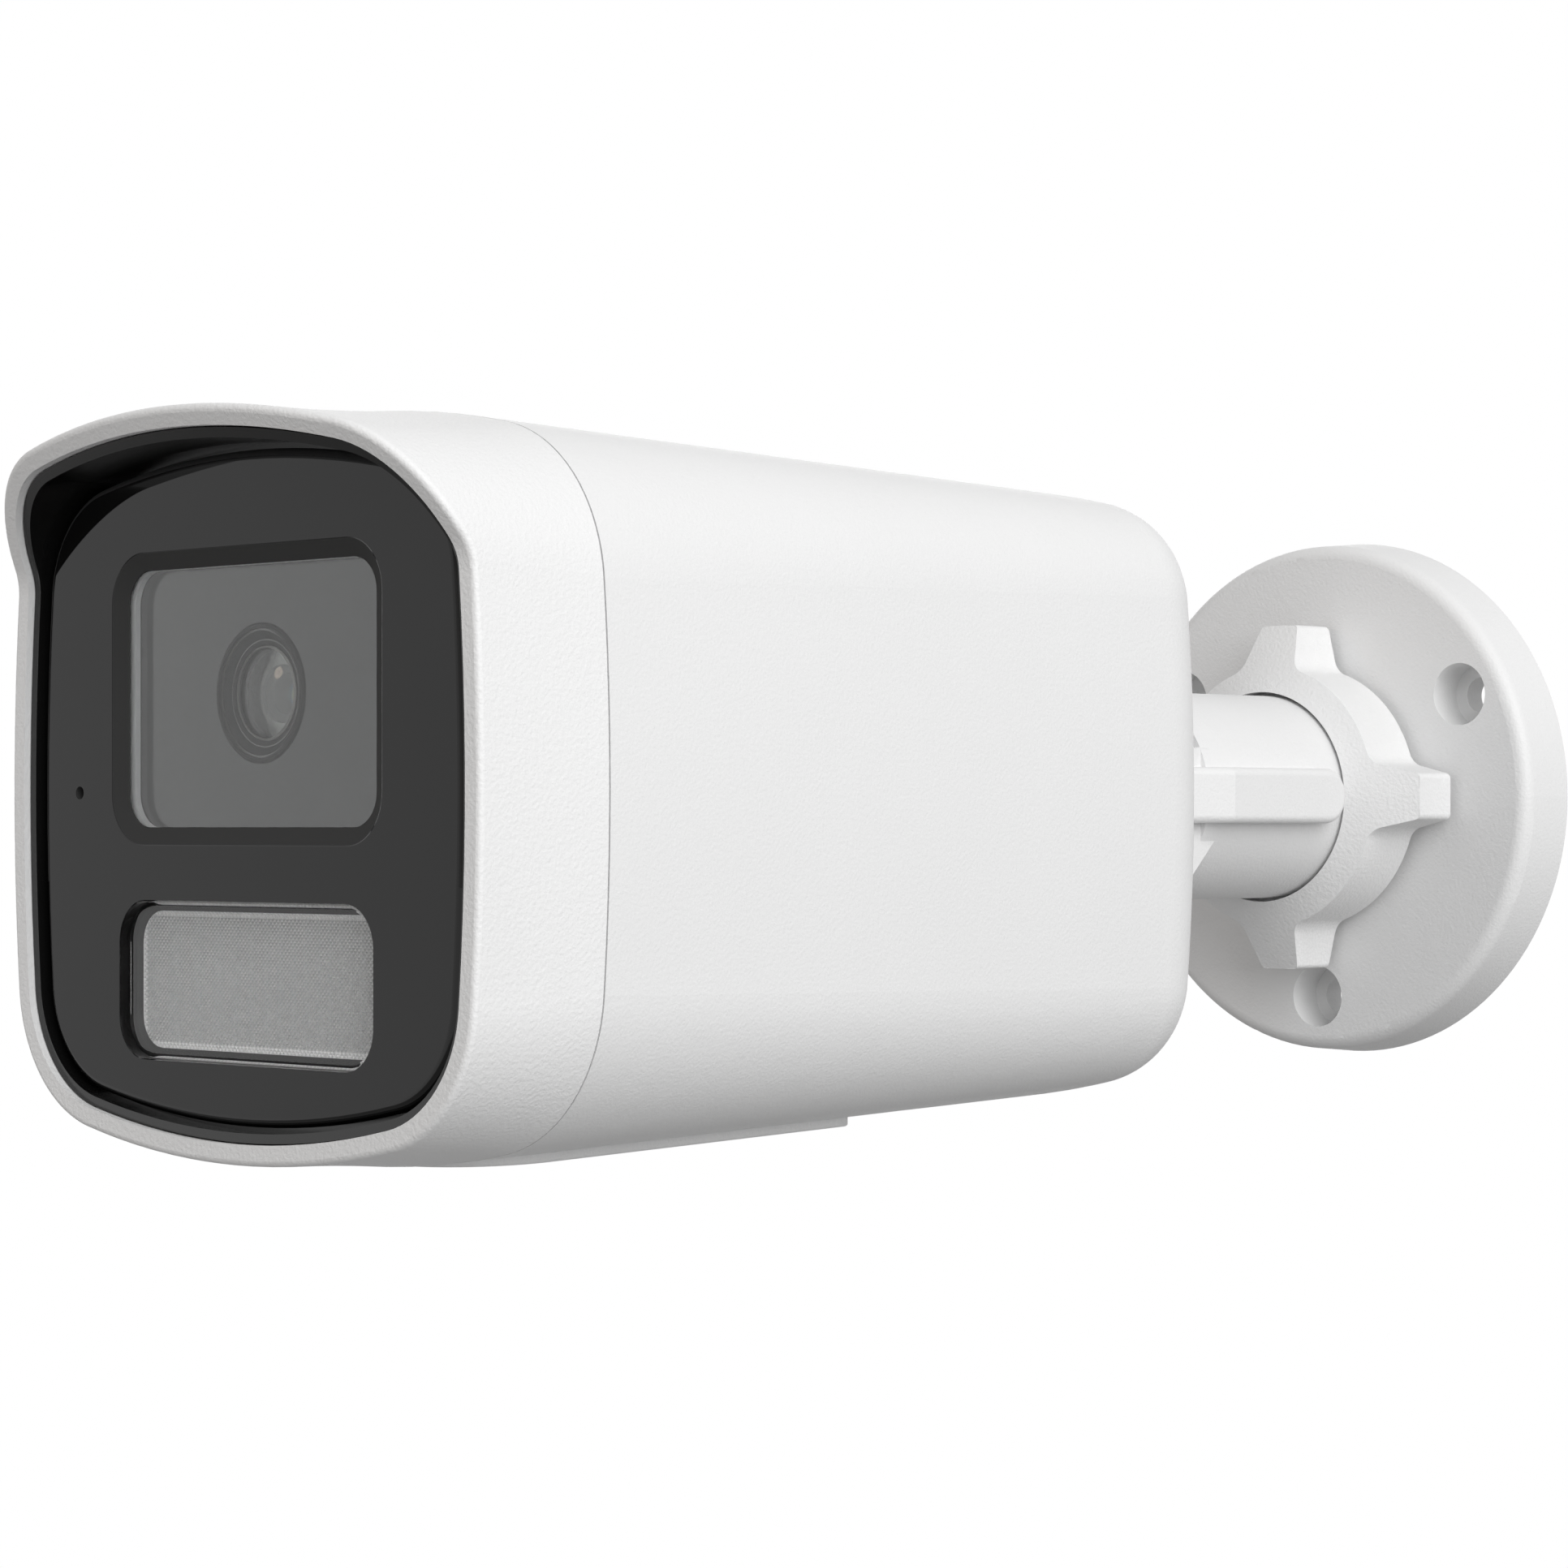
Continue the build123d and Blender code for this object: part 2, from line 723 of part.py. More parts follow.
with BuildPart() as hatch_pocket:
    underside_slab(
        hatch_half_width + slip_gap,
        hatch_rear - slip_gap,
        hatch_front + slip_gap,
        hatch_seat,
        bay_pad_thickness,
    )
    round_plan(hatch_pocket, hatch_corner + slip_gap, hatch_nose + slip_gap)

seal_front = spigot_end - seal_setback
seal_back = seal_front - seal_width
seal_floor = spigot_inset + seal_depth
with BuildPart() as seal_groove:
    tapered(cover_size, seal_back, seal_front, cover_wall)
    tapered(cover_size, seal_back, seal_front, seal_floor, mode=Mode.SUBTRACT)

# Body: rear housing with its bosses, spigot and service bay
cover_bosses = [(x * cover_boss_side, z * cover_boss_height) for x, z in four_signs]
cover_boss_front = ledge_back - face_gap
cover_seat = ledge_front - screw_head_height - slip_gap
carrier_bosses = [(x * carrier_boss_place, z * carrier_boss_height) for x, z in four_signs]
service_post_side = service_half_width - service_post
service_posts = [
    (x * service_post_side, reach)
    for x in (1, -1)
    for reach in (service_rear + service_post_inset, service_front - service_post_inset)
]
hatch_screw_reaches = (hatch_rear + hatch_screw_inset, hatch_front - hatch_screw_inset)
screw_grip = board_thickness + stud_grip
with BuildPart() as rear_housing:
    tapered(housing_size, rear_reach, seam_reach, 0)
    fillet(rear_housing.faces().sort_by(Axis.Y)[-1].edges(), rear_round)
    add(housing_hollow.part, mode=Mode.SUBTRACT)
    straight(cover_size(seam_reach), seam_reach - spigot_root, spigot_root, spigot_inset)
    tapered(cover_size, seam_reach, spigot_end, spigot_inset)
    straight(
        cover_size(spigot_end),
        seam_reach - spigot_root,
        spigot_root + spigot_length,
        spigot_inset + spigot_wall,
        mode=Mode.SUBTRACT,
    )
    disc(cover_boss_front - cover_boss_length, cover_boss, cover_boss_length, cover_bosses)
    disc(cover_seat - cover_screw_length, screw_hole, cover_screw_length, cover_bosses, mode=Mode.SUBTRACT)
    add(seal_groove.part, mode=Mode.SUBTRACT)
    disc(carrier_back - carrier_boss_length, carrier_boss, carrier_boss_length, carrier_bosses)
    disc(
        carrier_front - carrier_screw_length,
        screw_hole,
        carrier_screw_length,
        carrier_bosses,
        mode=Mode.SUBTRACT,
    )
    underside_slab(
        hatch_half_width + bay_pad_margin,
        hatch_rear - bay_pad_margin,
        hatch_front + bay_pad_margin,
        bay_pad_thickness,
        -hatch_seat,
    )
    upright_disc(service_board_low - bay_pad_thickness, service_post, bay_pad_thickness, service_posts)
    upright_disc(service_board_low - stud_grip, screw_hole, stud_grip, service_posts, mode=Mode.SUBTRACT)
    add(hatch_pocket.part, mode=Mode.SUBTRACT)
    underside_slab(
        bay_half_width, bay_rear, bay_front, 2 * bay_pad_thickness, hatch_proud, mode=Mode.SUBTRACT
    )
    for reach in hatch_screw_reaches:
        upright_disc(
            hatch_screw_seat(reach), screw_hole, hatch_screw_length, [(0, reach)], mode=Mode.SUBTRACT
        )
    disc(rear_reach, neck_radius + running_gap, rear_wall, mode=Mode.SUBTRACT)

with BuildPart() as front_seal:
    tapered(cover_size, seal_back + face_gap, seal_front - face_gap, cover_wall + running_gap)
    tapered(
        cover_size,
        seal_back + face_gap,
        seal_front - face_gap,
        seal_floor - running_gap,
        mode=Mode.SUBTRACT,
    )

# Body: front cover with its visor and the ledge that carries the panel
rim_size = cover_size(rim_reach)
with BuildPart() as front_cover:
    for reach in (seam_reach + seam_gap, rim_reach, tip_reach):
        with BuildSketch(Plane.XZ.offset(reach)):
            bulged_square(cover_size(reach))
    loft()
    visor_front(0)
    rim_edges = front_cover.edges().filter_by(lambda edge: -edge.bounding_box().max.Y > rim_reach - face_gap)
    fillet(rim_edges.filter_by(Axis.X, reverse=True), cover_edge)
    tapered(cover_size, seam_reach + seam_gap, rim_reach, cover_wall, mode=Mode.SUBTRACT)
    straight(rim_size, rim_reach, visor_overhang, cover_wall, mode=Mode.SUBTRACT)
    with BuildSketch(Plane.XZ.offset(ledge_back)):
        bulged_square(cover_size(ledge_front), cover_wall / 2)
        with BuildSketch(mode=Mode.SUBTRACT):
            bulged_square(cover_size(ledge_front), cover_wall + ledge_width)
        with Locations(*cover_bosses):
            Circle(cover_boss)
    extrude(amount=ledge_thickness)
    disc(ledge_back, screw_shaft + slip_gap, ledge_thickness, cover_bosses, mode=Mode.SUBTRACT)
    disc(cover_seat, screw_head + slip_gap, ledge_front - cover_seat, cover_bosses, mode=Mode.SUBTRACT)

with BuildPart() as cover_screws:
    axial_screws(
        cover_seat,
        1,
        screw_head,
        screw_head_height,
        screw_shaft,
        cover_screw_length - slip_gap,
        cover_bosses,
    )

# Front: liner of the visor, whose flange carries the panel
panel_screw_height = rim_half_height - panel_inset - panel_screw_edge
panel_screw_places = [(x * panel_screw_side, z * panel_screw_height) for x, z in four_signs]
with BuildPart() as panel_liner:
    tapered(cover_size, ledge_front, rim_reach, liner_inset)
    straight(rim_size, rim_reach, visor_overhang, liner_inset)
    tapered(cover_size, panel_back, rim_reach, liner_inset + liner_wall, mode=Mode.SUBTRACT)
    straight(rim_size, rim_reach, visor_overhang, liner_inset + liner_wall, mode=Mode.SUBTRACT)
    straight(
        rim_size,
        ledge_front,
        liner_flange_thickness,
        liner_inset + liner_wall + liner_flange_width,
        mode=Mode.SUBTRACT,
    )
    visor_front(lip_setback)
    disc(ledge_front, panel_screw_ear, liner_flange_thickness, panel_screw_places)
    disc(
        ledge_front,
        panel_screw_shaft + slip_gap,
        liner_flange_thickness,
        panel_screw_places,
        mode=Mode.SUBTRACT,
    )

# Front: panel with the window pocket, the light opening and the microphone hole
window_place = (0, window_height)
window_rebate_width = window_half_width + window_rim
window_rebate_height = window_half_height + window_rim
light_place = (0, light_height)
lamp_boss_height = light_height + lamp_boss_rise
lamp_bosses = [(x * lamp_boss_place, lamp_boss_height) for x in (1, -1)]
lamp_boss_length = panel_back - reflector_back
lamp_screw_length = board_thickness + lamp_boss_length - clear_gap
with BuildPart() as front_panel:
    straight(rim_size, panel_back, panel_thickness, panel_inset)
    fillet(front_panel.faces().sort_by(Axis.Y)[0].edges(), panel_edge)
    with BuildSketch(Plane.XZ.offset(panel_front - window_bevel_depth)):
        with Locations(window_place):
            RectangleRounded(2 * window_half_width, 2 * window_half_height, window_corner)
    with BuildSketch(Plane.XZ.offset(panel_front)):
        with Locations(window_place):
            RectangleRounded(
                2 * (window_half_width + window_bevel),
                2 * (window_half_height + window_bevel),
                window_corner + window_bevel,
            )
    loft(ruled=True, mode=Mode.SUBTRACT)
    block(
        panel_back,
        window_half_width,
        window_half_height,
        panel_thickness - window_bevel_depth,
        [window_place],
        window_corner,
        mode=Mode.SUBTRACT,
    )
    block(
        panel_back,
        window_rebate_width,
        window_rebate_height,
        panel_thickness - window_bevel_depth - window_lip,
        [window_place],
        window_corner + window_rim,
        mode=Mode.SUBTRACT,
    )
    block(
        panel_back,
        light_half_width,
        light_half_height,
        panel_thickness,
        [light_place],
        light_corner,
        mode=Mode.SUBTRACT,
    )
    disc(panel_back, mic_hole, panel_thickness, [(mic_side, mic_height)], mode=Mode.SUBTRACT)
    disc(
        panel_back,
        panel_screw_shaft + running_gap,
        panel_screw_length - liner_flange_thickness + slip_gap,
        panel_screw_places,
        Mode.SUBTRACT,
    )
    disc(panel_back - lamp_boss_length, lamp_boss, lamp_boss_length, lamp_bosses)
    disc(panel_back - lamp_boss_length, screw_hole, lamp_boss_length, lamp_bosses, mode=Mode.SUBTRACT)

with BuildPart() as panel_screws:
    axial_screws(
        ledge_front,
        -1,
        panel_screw_head,
        panel_screw_head_height,
        panel_screw_shaft,
        panel_screw_length,
        panel_screw_places,
    )

# Front: window, its gasket and the dark plate behind it
with BuildPart() as lens_window:
    block(
        glass_back,
        window_rebate_width - slip_gap,
        window_rebate_height - slip_gap,
        glass_thickness,
        [window_place],
        window_corner + window_rim - slip_gap,
    )

with BuildPart() as window_gasket:
    gasket_depth = glass_back - panel_back - 2 * face_gap
    block(
        panel_back + face_gap,
        window_rebate_width - slip_gap,
        window_rebate_height - slip_gap,
        gasket_depth,
        [window_place],
        window_corner + window_rim - slip_gap,
    )
    block(
        panel_back + face_gap,
        window_half_width,
        window_half_height,
        gasket_depth,
        [window_place],
        window_corner,
        mode=Mode.SUBTRACT,
    )

lens_place = (0, lens_height)
lens_axis = Axis((0, 0, lens_height), (0, 1, 0))
skirt_bore = holder_neck + slip_gap
with BuildPart() as lens_shroud:
    block(
        shroud_back,
        window_half_width + shroud_margin,
        window_half_height + shroud_margin,
        shroud_thickness,
        [window_place],
        window_corner + shroud_margin,
    )
    collar(
        shroud_back - shroud_skirt_length,
        skirt_bore + shroud_skirt,
        skirt_bore,
        shroud_skirt_length,
        lens_place,
    )
    disc(shroud_back, lens_ring_radius + slip_gap, shroud_thickness, [lens_place], mode=Mode.SUBTRACT)

# Optics: lens barrel and glass
barrel_back = filter_floor + filter_slot + filter_stop + face_gap
cup_floor = lens_ring_front - lens_cup_depth
glass_seat = cup_floor - lens_glass_thickness
with BuildPart() as lens_barrel:
    lens_revolve(
        [
            (lens_bore, barrel_back),
            (lens_thread_radius, barrel_back),
            (lens_thread_radius, lens_bell_back),
            (lens_ring_radius, lens_bell_back),
            (lens_ring_radius, lens_ring_front),
            (lens_cup_radius, lens_ring_front),
            (lens_glass_radius + running_gap, cup_floor),
            (lens_glass_radius + running_gap, glass_seat),
            (lens_bore, glass_seat),
        ]
    )

with BuildPart() as lens_front_element:
    with BuildSketch(Plane.XY.offset(lens_height)):
        with BuildLine():
            Polyline(
                (0, -cup_floor - lens_glass_crown),
                (0, -glass_seat),
                (lens_glass_radius, -glass_seat),
                (lens_glass_radius, -cup_floor),
            )
            RadiusArc(
                (lens_glass_radius, -cup_floor),
                (0, -cup_floor - lens_glass_crown),
                (lens_glass_radius**2 + lens_glass_crown**2) / (2 * lens_glass_crown),
            )
        make_face()
    revolve(axis=lens_axis)

with BuildPart() as lens_rear_elements:
    for index in range(lens_rear_count):
        disc(
            barrel_back + lens_rear_thickness + index * lens_rear_pitch,
            lens_bore - running_gap,
            lens_rear_thickness,
            [lens_place],
        )

# Optics: holder with the sensor space, the filter slot and the lens thread
filter_run = filter_half_width + filter_pitch / 2 + clear_gap
sensor_space = sensor_thickness + clear_gap
with BuildPart() as lens_holder:
    block(sensor_face, holder_half_width, holder_half_height, holder_height, [lens_place])
    disc(holder_shoulder, holder_neck, holder_neck_length, [lens_place])
    block(
        sensor_face,
        sensor_half_width + clear_gap,
        sensor_half_height + clear_gap,
        sensor_space,
        [lens_place],
        mode=Mode.SUBTRACT,
    )
    block(
        filter_floor,
        filter_run,
        filter_half_height + clear_gap,
        filter_slot,
        [lens_place],
        mode=Mode.SUBTRACT,
    )
    disc(sensor_face, lens_bore, holder_height, [lens_place], mode=Mode.SUBTRACT)
    disc(
        barrel_back - face_gap,
        lens_thread_radius + running_gap,
        holder_top - barrel_back + face_gap,
        [lens_place],
        mode=Mode.SUBTRACT,
    )

filter_back = filter_floor + (filter_slot - filter_thickness) / 2
filter_middle = filter_pitch / 2
pane_places = [(filter_middle + x * filter_pitch / 2, lens_height) for x in (1, -1)]
pane_back = filter_back + (filter_thickness - filter_pane_thickness) / 2
with BuildPart() as filter_carriage:
    block(
        filter_back, filter_half_width, filter_half_height, filter_thickness, [(filter_middle, lens_height)]
    )
    disc(filter_back, filter_pane_radius + running_gap, filter_thickness, pane_places, mode=Mode.SUBTRACT)

with BuildPart() as filter_panes:
    disc(pane_back, filter_pane_radius, filter_pane_thickness, pane_places)

with BuildPart() as filter_motor:
    block(
        sensor_face + face_gap,
        motor_half,
        motor_height / 2,
        holder_height - face_gap,
        [(0, lens_height + holder_half_height + motor_height / 2)],
        motor_corner,
    )

with BuildPart() as image_sensor:
    block(sensor_face, sensor_half_width, sensor_half_height, sensor_thickness, [lens_place])

sensor_post_side = sensor_board_half_width - board_screw_inset
sensor_post_rise = sensor_board_half_height - board_screw_inset
sensor_posts = [(x * sensor_post_side, lens_height + z * sensor_post_rise) for x, z in four_signs]
with BuildPart() as sensor_board:
    block(
        sensor_board_back, sensor_board_half_width, sensor_board_half_height, board_thickness, [lens_place]
    )
    disc(sensor_board_back, screw_shaft + slip_gap, board_thickness, sensor_posts, mode=Mode.SUBTRACT)

with BuildPart() as sensor_screws:
    axial_screws(sensor_face, 1, screw_head, screw_head_height, screw_shaft, screw_grip, sensor_posts)

# Lamps: prismatic cover, reflectors, chips and board
lamp_sides = [(index - (lamp_count - 1) / 2) * lamp_pitch for index in range(lamp_count)]
light_boss_width = light_half_width - slip_gap
light_boss_height = light_half_height - slip_gap
with BuildPart() as light_lens:
    block(
        panel_back - face_gap,
        light_boss_width,
        light_boss_height,
        light_front - panel_back + face_gap,
        [light_place],
        light_corner - slip_gap,
    )
    chamfer(light_lens.faces().sort_by(Axis.Y)[0].edges(), light_bevel_depth, light_bevel)
    block(
        light_flange_back,
        light_half_width + light_flange,
        light_half_height + light_flange,
        light_flange_thickness - face_gap,
        [light_place],
        light_corner + light_flange,
    )

with BuildPart() as reflector_block:
    block(reflector_back, light_boss_width, light_boss_height, reflector_depth, [light_place], light_corner)
    for side in lamp_sides:
        with BuildSketch(Plane.XZ.offset(reflector_back)):
            with Locations((side, light_height)):
                Circle(reflector_throat)
        with BuildSketch(Plane.XZ.offset(reflector_back + reflector_depth)):
            with Locations((side, light_height)):
                Circle(reflector_mouth)
        loft(ruled=True, mode=Mode.SUBTRACT)

with BuildPart() as lamp_chips:
    block(
        reflector_back,
        lamp_half,
        lamp_half,
        lamp_chip_thickness,
        [(side, light_height) for side in lamp_sides],
    )

lamp_board_back = reflector_back - board_thickness
with BuildPart() as lamp_board:
    block(
        lamp_board_back,
        light_half_width + lamp_board_margin,
        light_half_height + lamp_board_margin,
        board_thickness,
        [light_place],
    )
    block(
        lamp_board_back,
        lamp_boss_place + lamp_boss,
        lamp_boss + lamp_board_margin,
        board_thickness,
        [(0, lamp_boss_height)],
    )
    disc(lamp_board_back, screw_shaft + slip_gap, board_thickness, lamp_bosses, mode=Mode.SUBTRACT)

with BuildPart() as lamp_screws:
    axial_screws(
        lamp_board_back, -1, screw_head, screw_head_height, screw_shaft, lamp_screw_length, lamp_bosses
    )

# Sound: microphone in its rubber boot
mic_place = (mic_side, mic_height)
mic_boot_back = panel_back - mic_boot_depth
with BuildPart() as microphone_boot:
    disc(mic_boot_back, mic_radius + mic_boot_wall, mic_boot_depth, [mic_place])
    disc(mic_boot_back, mic_radius + running_gap, mic_thickness, [mic_place], mode=Mode.SUBTRACT)
    disc(mic_boot_back, mic_hole, mic_boot_depth, [mic_place], mode=Mode.SUBTRACT)

with BuildPart() as microphone:
    disc(mic_boot_back, mic_radius, mic_thickness, [mic_place])

# Electronics: carrier plate, main board and power board
board_low = carrier_low + board_edge_gap
board_high = carrier_high - board_edge_gap
board_middle = (0, (board_low + board_high) / 2)
board_half_height = (board_high - board_low) / 2
board_post_side = board_half_width - board_screw_inset
board_post_rise = board_half_height - board_screw_inset
board_posts = [(x * board_post_side, board_middle[1] + z * board_post_rise) for x, z in four_signs]
carrier_ear_side = housing_size(carrier_back)[0] - housing_wall - carrier_side_gap
carrier_middle = (0, (carrier_low + carrier_high) / 2)
with BuildPart() as carrier_plate:
    block(
        carrier_back,
        carrier_half_width,
        (carrier_high - carrier_low) / 2,
        carrier_thickness,
        [carrier_middle],
    )
    block(carrier_back, carrier_ear_side, carrier_ear_half, carrier_thickness)
    disc(carrier_front, board_post, sensor_post_length, sensor_posts)
    disc(board_front, board_post, board_post_length, board_posts)
    disc(carrier_back, screw_shaft + slip_gap, carrier_thickness, carrier_bosses, mode=Mode.SUBTRACT)
    disc(sensor_board_back - stud_grip, screw_hole, stud_grip, sensor_posts, mode=Mode.SUBTRACT)
    disc(board_front, stud_radius + running_gap, stud_grip, board_posts, mode=Mode.SUBTRACT)

with BuildPart() as carrier_screws:
    axial_screws(
        carrier_front,
        1,
        screw_head,
        screw_head_height,
        screw_shaft,
        carrier_screw_length - slip_gap,
        carrier_bosses,
    )

with BuildPart() as main_board:
    block(board_back, board_half_width, board_half_height, board_thickness, [board_middle])
    disc(board_back, stud_radius + slip_gap, board_thickness, board_posts, mode=Mode.SUBTRACT)

with BuildPart() as processor:
    block(board_front, processor_half, processor_half, processor_thickness, [board_middle])

with BuildPart() as heat_pad:
    pad_back = board_front + processor_thickness
    block(pad_back, processor_half, processor_half, carrier_back - pad_back, [board_middle])

with BuildPart() as board_parts:
    block(
        board_back - connector_depth,
        connector_half_width,
        connector_half_height,
        connector_depth,
        [(0, board_high - connector_half_height), (0, board_low + connector_half_height)],
    )
    disc(
        board_back - coil_height,
        coil_radius,
        coil_height,
        [(x * connector_half_width, board_middle[1]) for x in (1, -1)],
    )

with BuildPart() as board_spacers:
    with BuildSketch(Plane.XZ.offset(power_front)):
        with Locations(*board_posts):
            RegularPolygon(spacer_radius, 6)
    extrude(amount=spacer_length)
    disc(board_back, stud_radius, board_thickness + stud_grip - face_gap, board_posts)
    disc(power_front, screw_hole, stud_grip, board_posts, mode=Mode.SUBTRACT)

with BuildPart() as power_board:
    block(power_back, board_half_width, board_half_height, board_thickness, [board_middle])
    disc(power_back, screw_shaft + slip_gap, board_thickness, board_posts, mode=Mode.SUBTRACT)

with BuildPart() as power_parts:
    block(
        power_back - transformer_depth,
        transformer_half,
        transformer_half,
        transformer_depth,
        [(-transformer_half, board_middle[1])],
    )
    disc(
        power_back - capacitor_length,
        capacitor_radius,
        capacitor_length,
        [(2 * capacitor_radius, board_middle[1] + x * capacitor_rise) for x in (1, -1)],
    )

with BuildPart() as spacer_screws:
    axial_screws(
        power_back, -1, screw_head, screw_head_height, screw_shaft, screw_grip - face_gap, board_posts
    )

# Service bay: board with the card socket and the reset switch
with BuildPart() as service_board:
    upright_block(service_board_low, service_half_width, service_rear, service_front, board_thickness)
    upright_disc(
        service_board_low, screw_shaft + slip_gap, board_thickness, service_posts, mode=Mode.SUBTRACT
    )

service_board_top = service_board_low + board_thickness
with BuildPart() as service_screws:
    upright_disc(service_board_top, screw_head, screw_head_height, service_posts)
    upright_disc(service_board_top, screw_shaft, -(screw_grip - face_gap), service_posts)

socket_rear = service_rear + socket_inset
socket_front = socket_rear + socket_side_wall + card_length - card_showing
socket_height = card_thickness + 2 * card_gap + 2 * socket_wall
socket_low = service_board_low - socket_height
card_low = socket_low + socket_wall + card_gap
card_rear = socket_rear + socket_side_wall
with BuildPart() as card_socket:
    upright_block(
        socket_low, card_half_width + card_gap + socket_side_wall, socket_rear, socket_front, socket_height
    )
    upright_block(
        socket_low + socket_wall,
        card_half_width + card_gap,
        card_rear - card_gap,
        socket_front,
        card_thickness + 2 * card_gap,
        mode=Mode.SUBTRACT,
    )

with BuildPart() as memory_card:
    upright_block(card_low, card_half_width, card_rear, card_rear + card_length, card_thickness)

switch_reach = service_front - switch_inset
switch_low = service_board_low - switch_height
button_top = switch_low + button_length / 2
with BuildPart() as reset_switch:
    upright_block(
        switch_low, switch_half, switch_reach - switch_half, switch_reach + switch_half, switch_height
    )
    upright_disc(
        switch_low,
        button_radius + running_gap,
        button_length / 2 + button_travel + slip_gap,
        [(0, switch_reach)],
        mode=Mode.SUBTRACT,
    )

with BuildPart() as reset_button:
    upright_disc(button_top - button_length, button_radius, button_length, [(0, switch_reach)])

# Service bay: hatch with its seal and captive screws
seal_half_width = bay_half_width + hatch_seal_margin
seal_rear_end = bay_rear - hatch_seal_margin
seal_front_end = bay_front + hatch_seal_margin
with BuildPart() as hatch_seal:
    underside_slab(
        seal_half_width + hatch_seal_width,
        seal_rear_end - hatch_seal_width,
        seal_front_end + hatch_seal_width,
        hatch_seat - face_gap,
        hatch_seal_depth - hatch_seat,
    )
    underside_slab(seal_half_width, seal_rear_end, seal_front_end, hatch_seat, 0, mode=Mode.SUBTRACT)

with BuildPart() as card_hatch:
    underside_slab(hatch_half_width, hatch_rear, hatch_front, hatch_seat - face_gap, hatch_proud)
    round_plan(card_hatch, hatch_corner, hatch_nose)
    fillet(card_hatch.faces().sort_by(Axis.Z)[0].edges(), hatch_edge)
    add(hatch_seal.part, mode=Mode.SUBTRACT)
    for reach in hatch_screw_reaches:
        seat = hatch_screw_seat(reach)
        upright_disc(
            seat, screw_head + slip_gap, -hatch_proud - screw_head_height, [(0, reach)], mode=Mode.SUBTRACT
        )
        upright_disc(
            seat, screw_shaft + running_gap, hatch_seat + hatch_proud, [(0, reach)], mode=Mode.SUBTRACT
        )

with BuildPart() as hatch_screws:
    for reach in hatch_screw_reaches:
        seat = hatch_screw_seat(reach)
        upright_disc(seat, screw_head, -screw_head_height, [(0, reach)])
        upright_disc(seat, screw_shaft, hatch_screw_length - slip_gap, [(0, reach)])
        with BuildSketch(Plane.XY.offset(seat - screw_head_height)):
            with Locations((0, -reach)):
                RegularPolygon(screw_head / 2, 6)
        extrude(amount=screw_socket_depth, mode=Mode.SUBTRACT)

# Finished pieces
pieces = {
    "base_plate": base_plate,
    "pan_washer": pan_washer,
    "lock_ring": lock_ring,
    "pan_arm": pan_arm,
    "tilt_knuckle": tilt_knuckle,
    "tilt_screws": tilt_screws,
    "tilt_washers": tilt_washers,
    "roll_washer": roll_washer,
    "roll_nut": roll_nut,
    "neck_seal": neck_seal,
    "cable_bushing": cable_bushing,
    "rear_housing": rear_housing,
    "front_seal": front_seal,
    "front_cover": front_cover,
    "cover_screws": cover_screws,
    "panel_liner": panel_liner,
    "front_panel": front_panel,
    "panel_screws": panel_screws,
    "lens_window": lens_window,
    "window_gasket": window_gasket,
    "lens_shroud": lens_shroud,
    "lens_barrel": lens_barrel,
    "lens_front_element": lens_front_element,
    "lens_rear_elements": lens_rear_elements,
    "lens_holder": lens_holder,
    "filter_carriage": filter_carriage,
    "filter_panes": filter_panes,
    "filter_motor": filter_motor,
    "image_sensor": image_sensor,
    "sensor_board": sensor_board,
    "sensor_screws": sensor_screws,
    "light_lens": light_lens,
    "reflector_block": reflector_block,
    "lamp_chips": lamp_chips,
    "lamp_board": lamp_board,
    "lamp_screws": lamp_screws,
    "microphone": microphone,
    "microphone_boot": microphone_boot,
    "carrier_plate": carrier_plate,
    "carrier_screws": carrier_screws,
    "main_board": main_board,
    "processor": processor,
    "heat_pad": heat_pad,
    "board_parts": board_parts,
    "board_spacers": board_spacers,
    "power_board": power_board,
    "power_parts": power_parts,
    "spacer_screws": spacer_screws,
    "service_board": service_board,
    "service_screws": service_screws,
    "card_socket": card_socket,
    "memory_card": memory_card,
    "reset_switch": reset_switch,
    "reset_button": reset_button,
    "card_hatch": card_hatch,
    "hatch_seal": hatch_seal,
    "hatch_screws": hatch_screws,
}
for name, piece in pieces.items():
    piece.part.label = name
    export_step(piece.part, f"parts/{name}.step")
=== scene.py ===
"""Looks of a wall-mounted security camera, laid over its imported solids.

Lengths are in metres. The wall is the plane Y = 0, the camera looks along -Y and +Z is up.
A reach is a distance from the wall, so a point with reach r lies at Y = -r.
"""

import json
import math

import bmesh
import bpy
from bpy.props import FloatProperty, FloatVectorProperty, PointerProperty
from bpy.types import Operator, Panel, PropertyGroup
from mathutils import Matrix, Vector


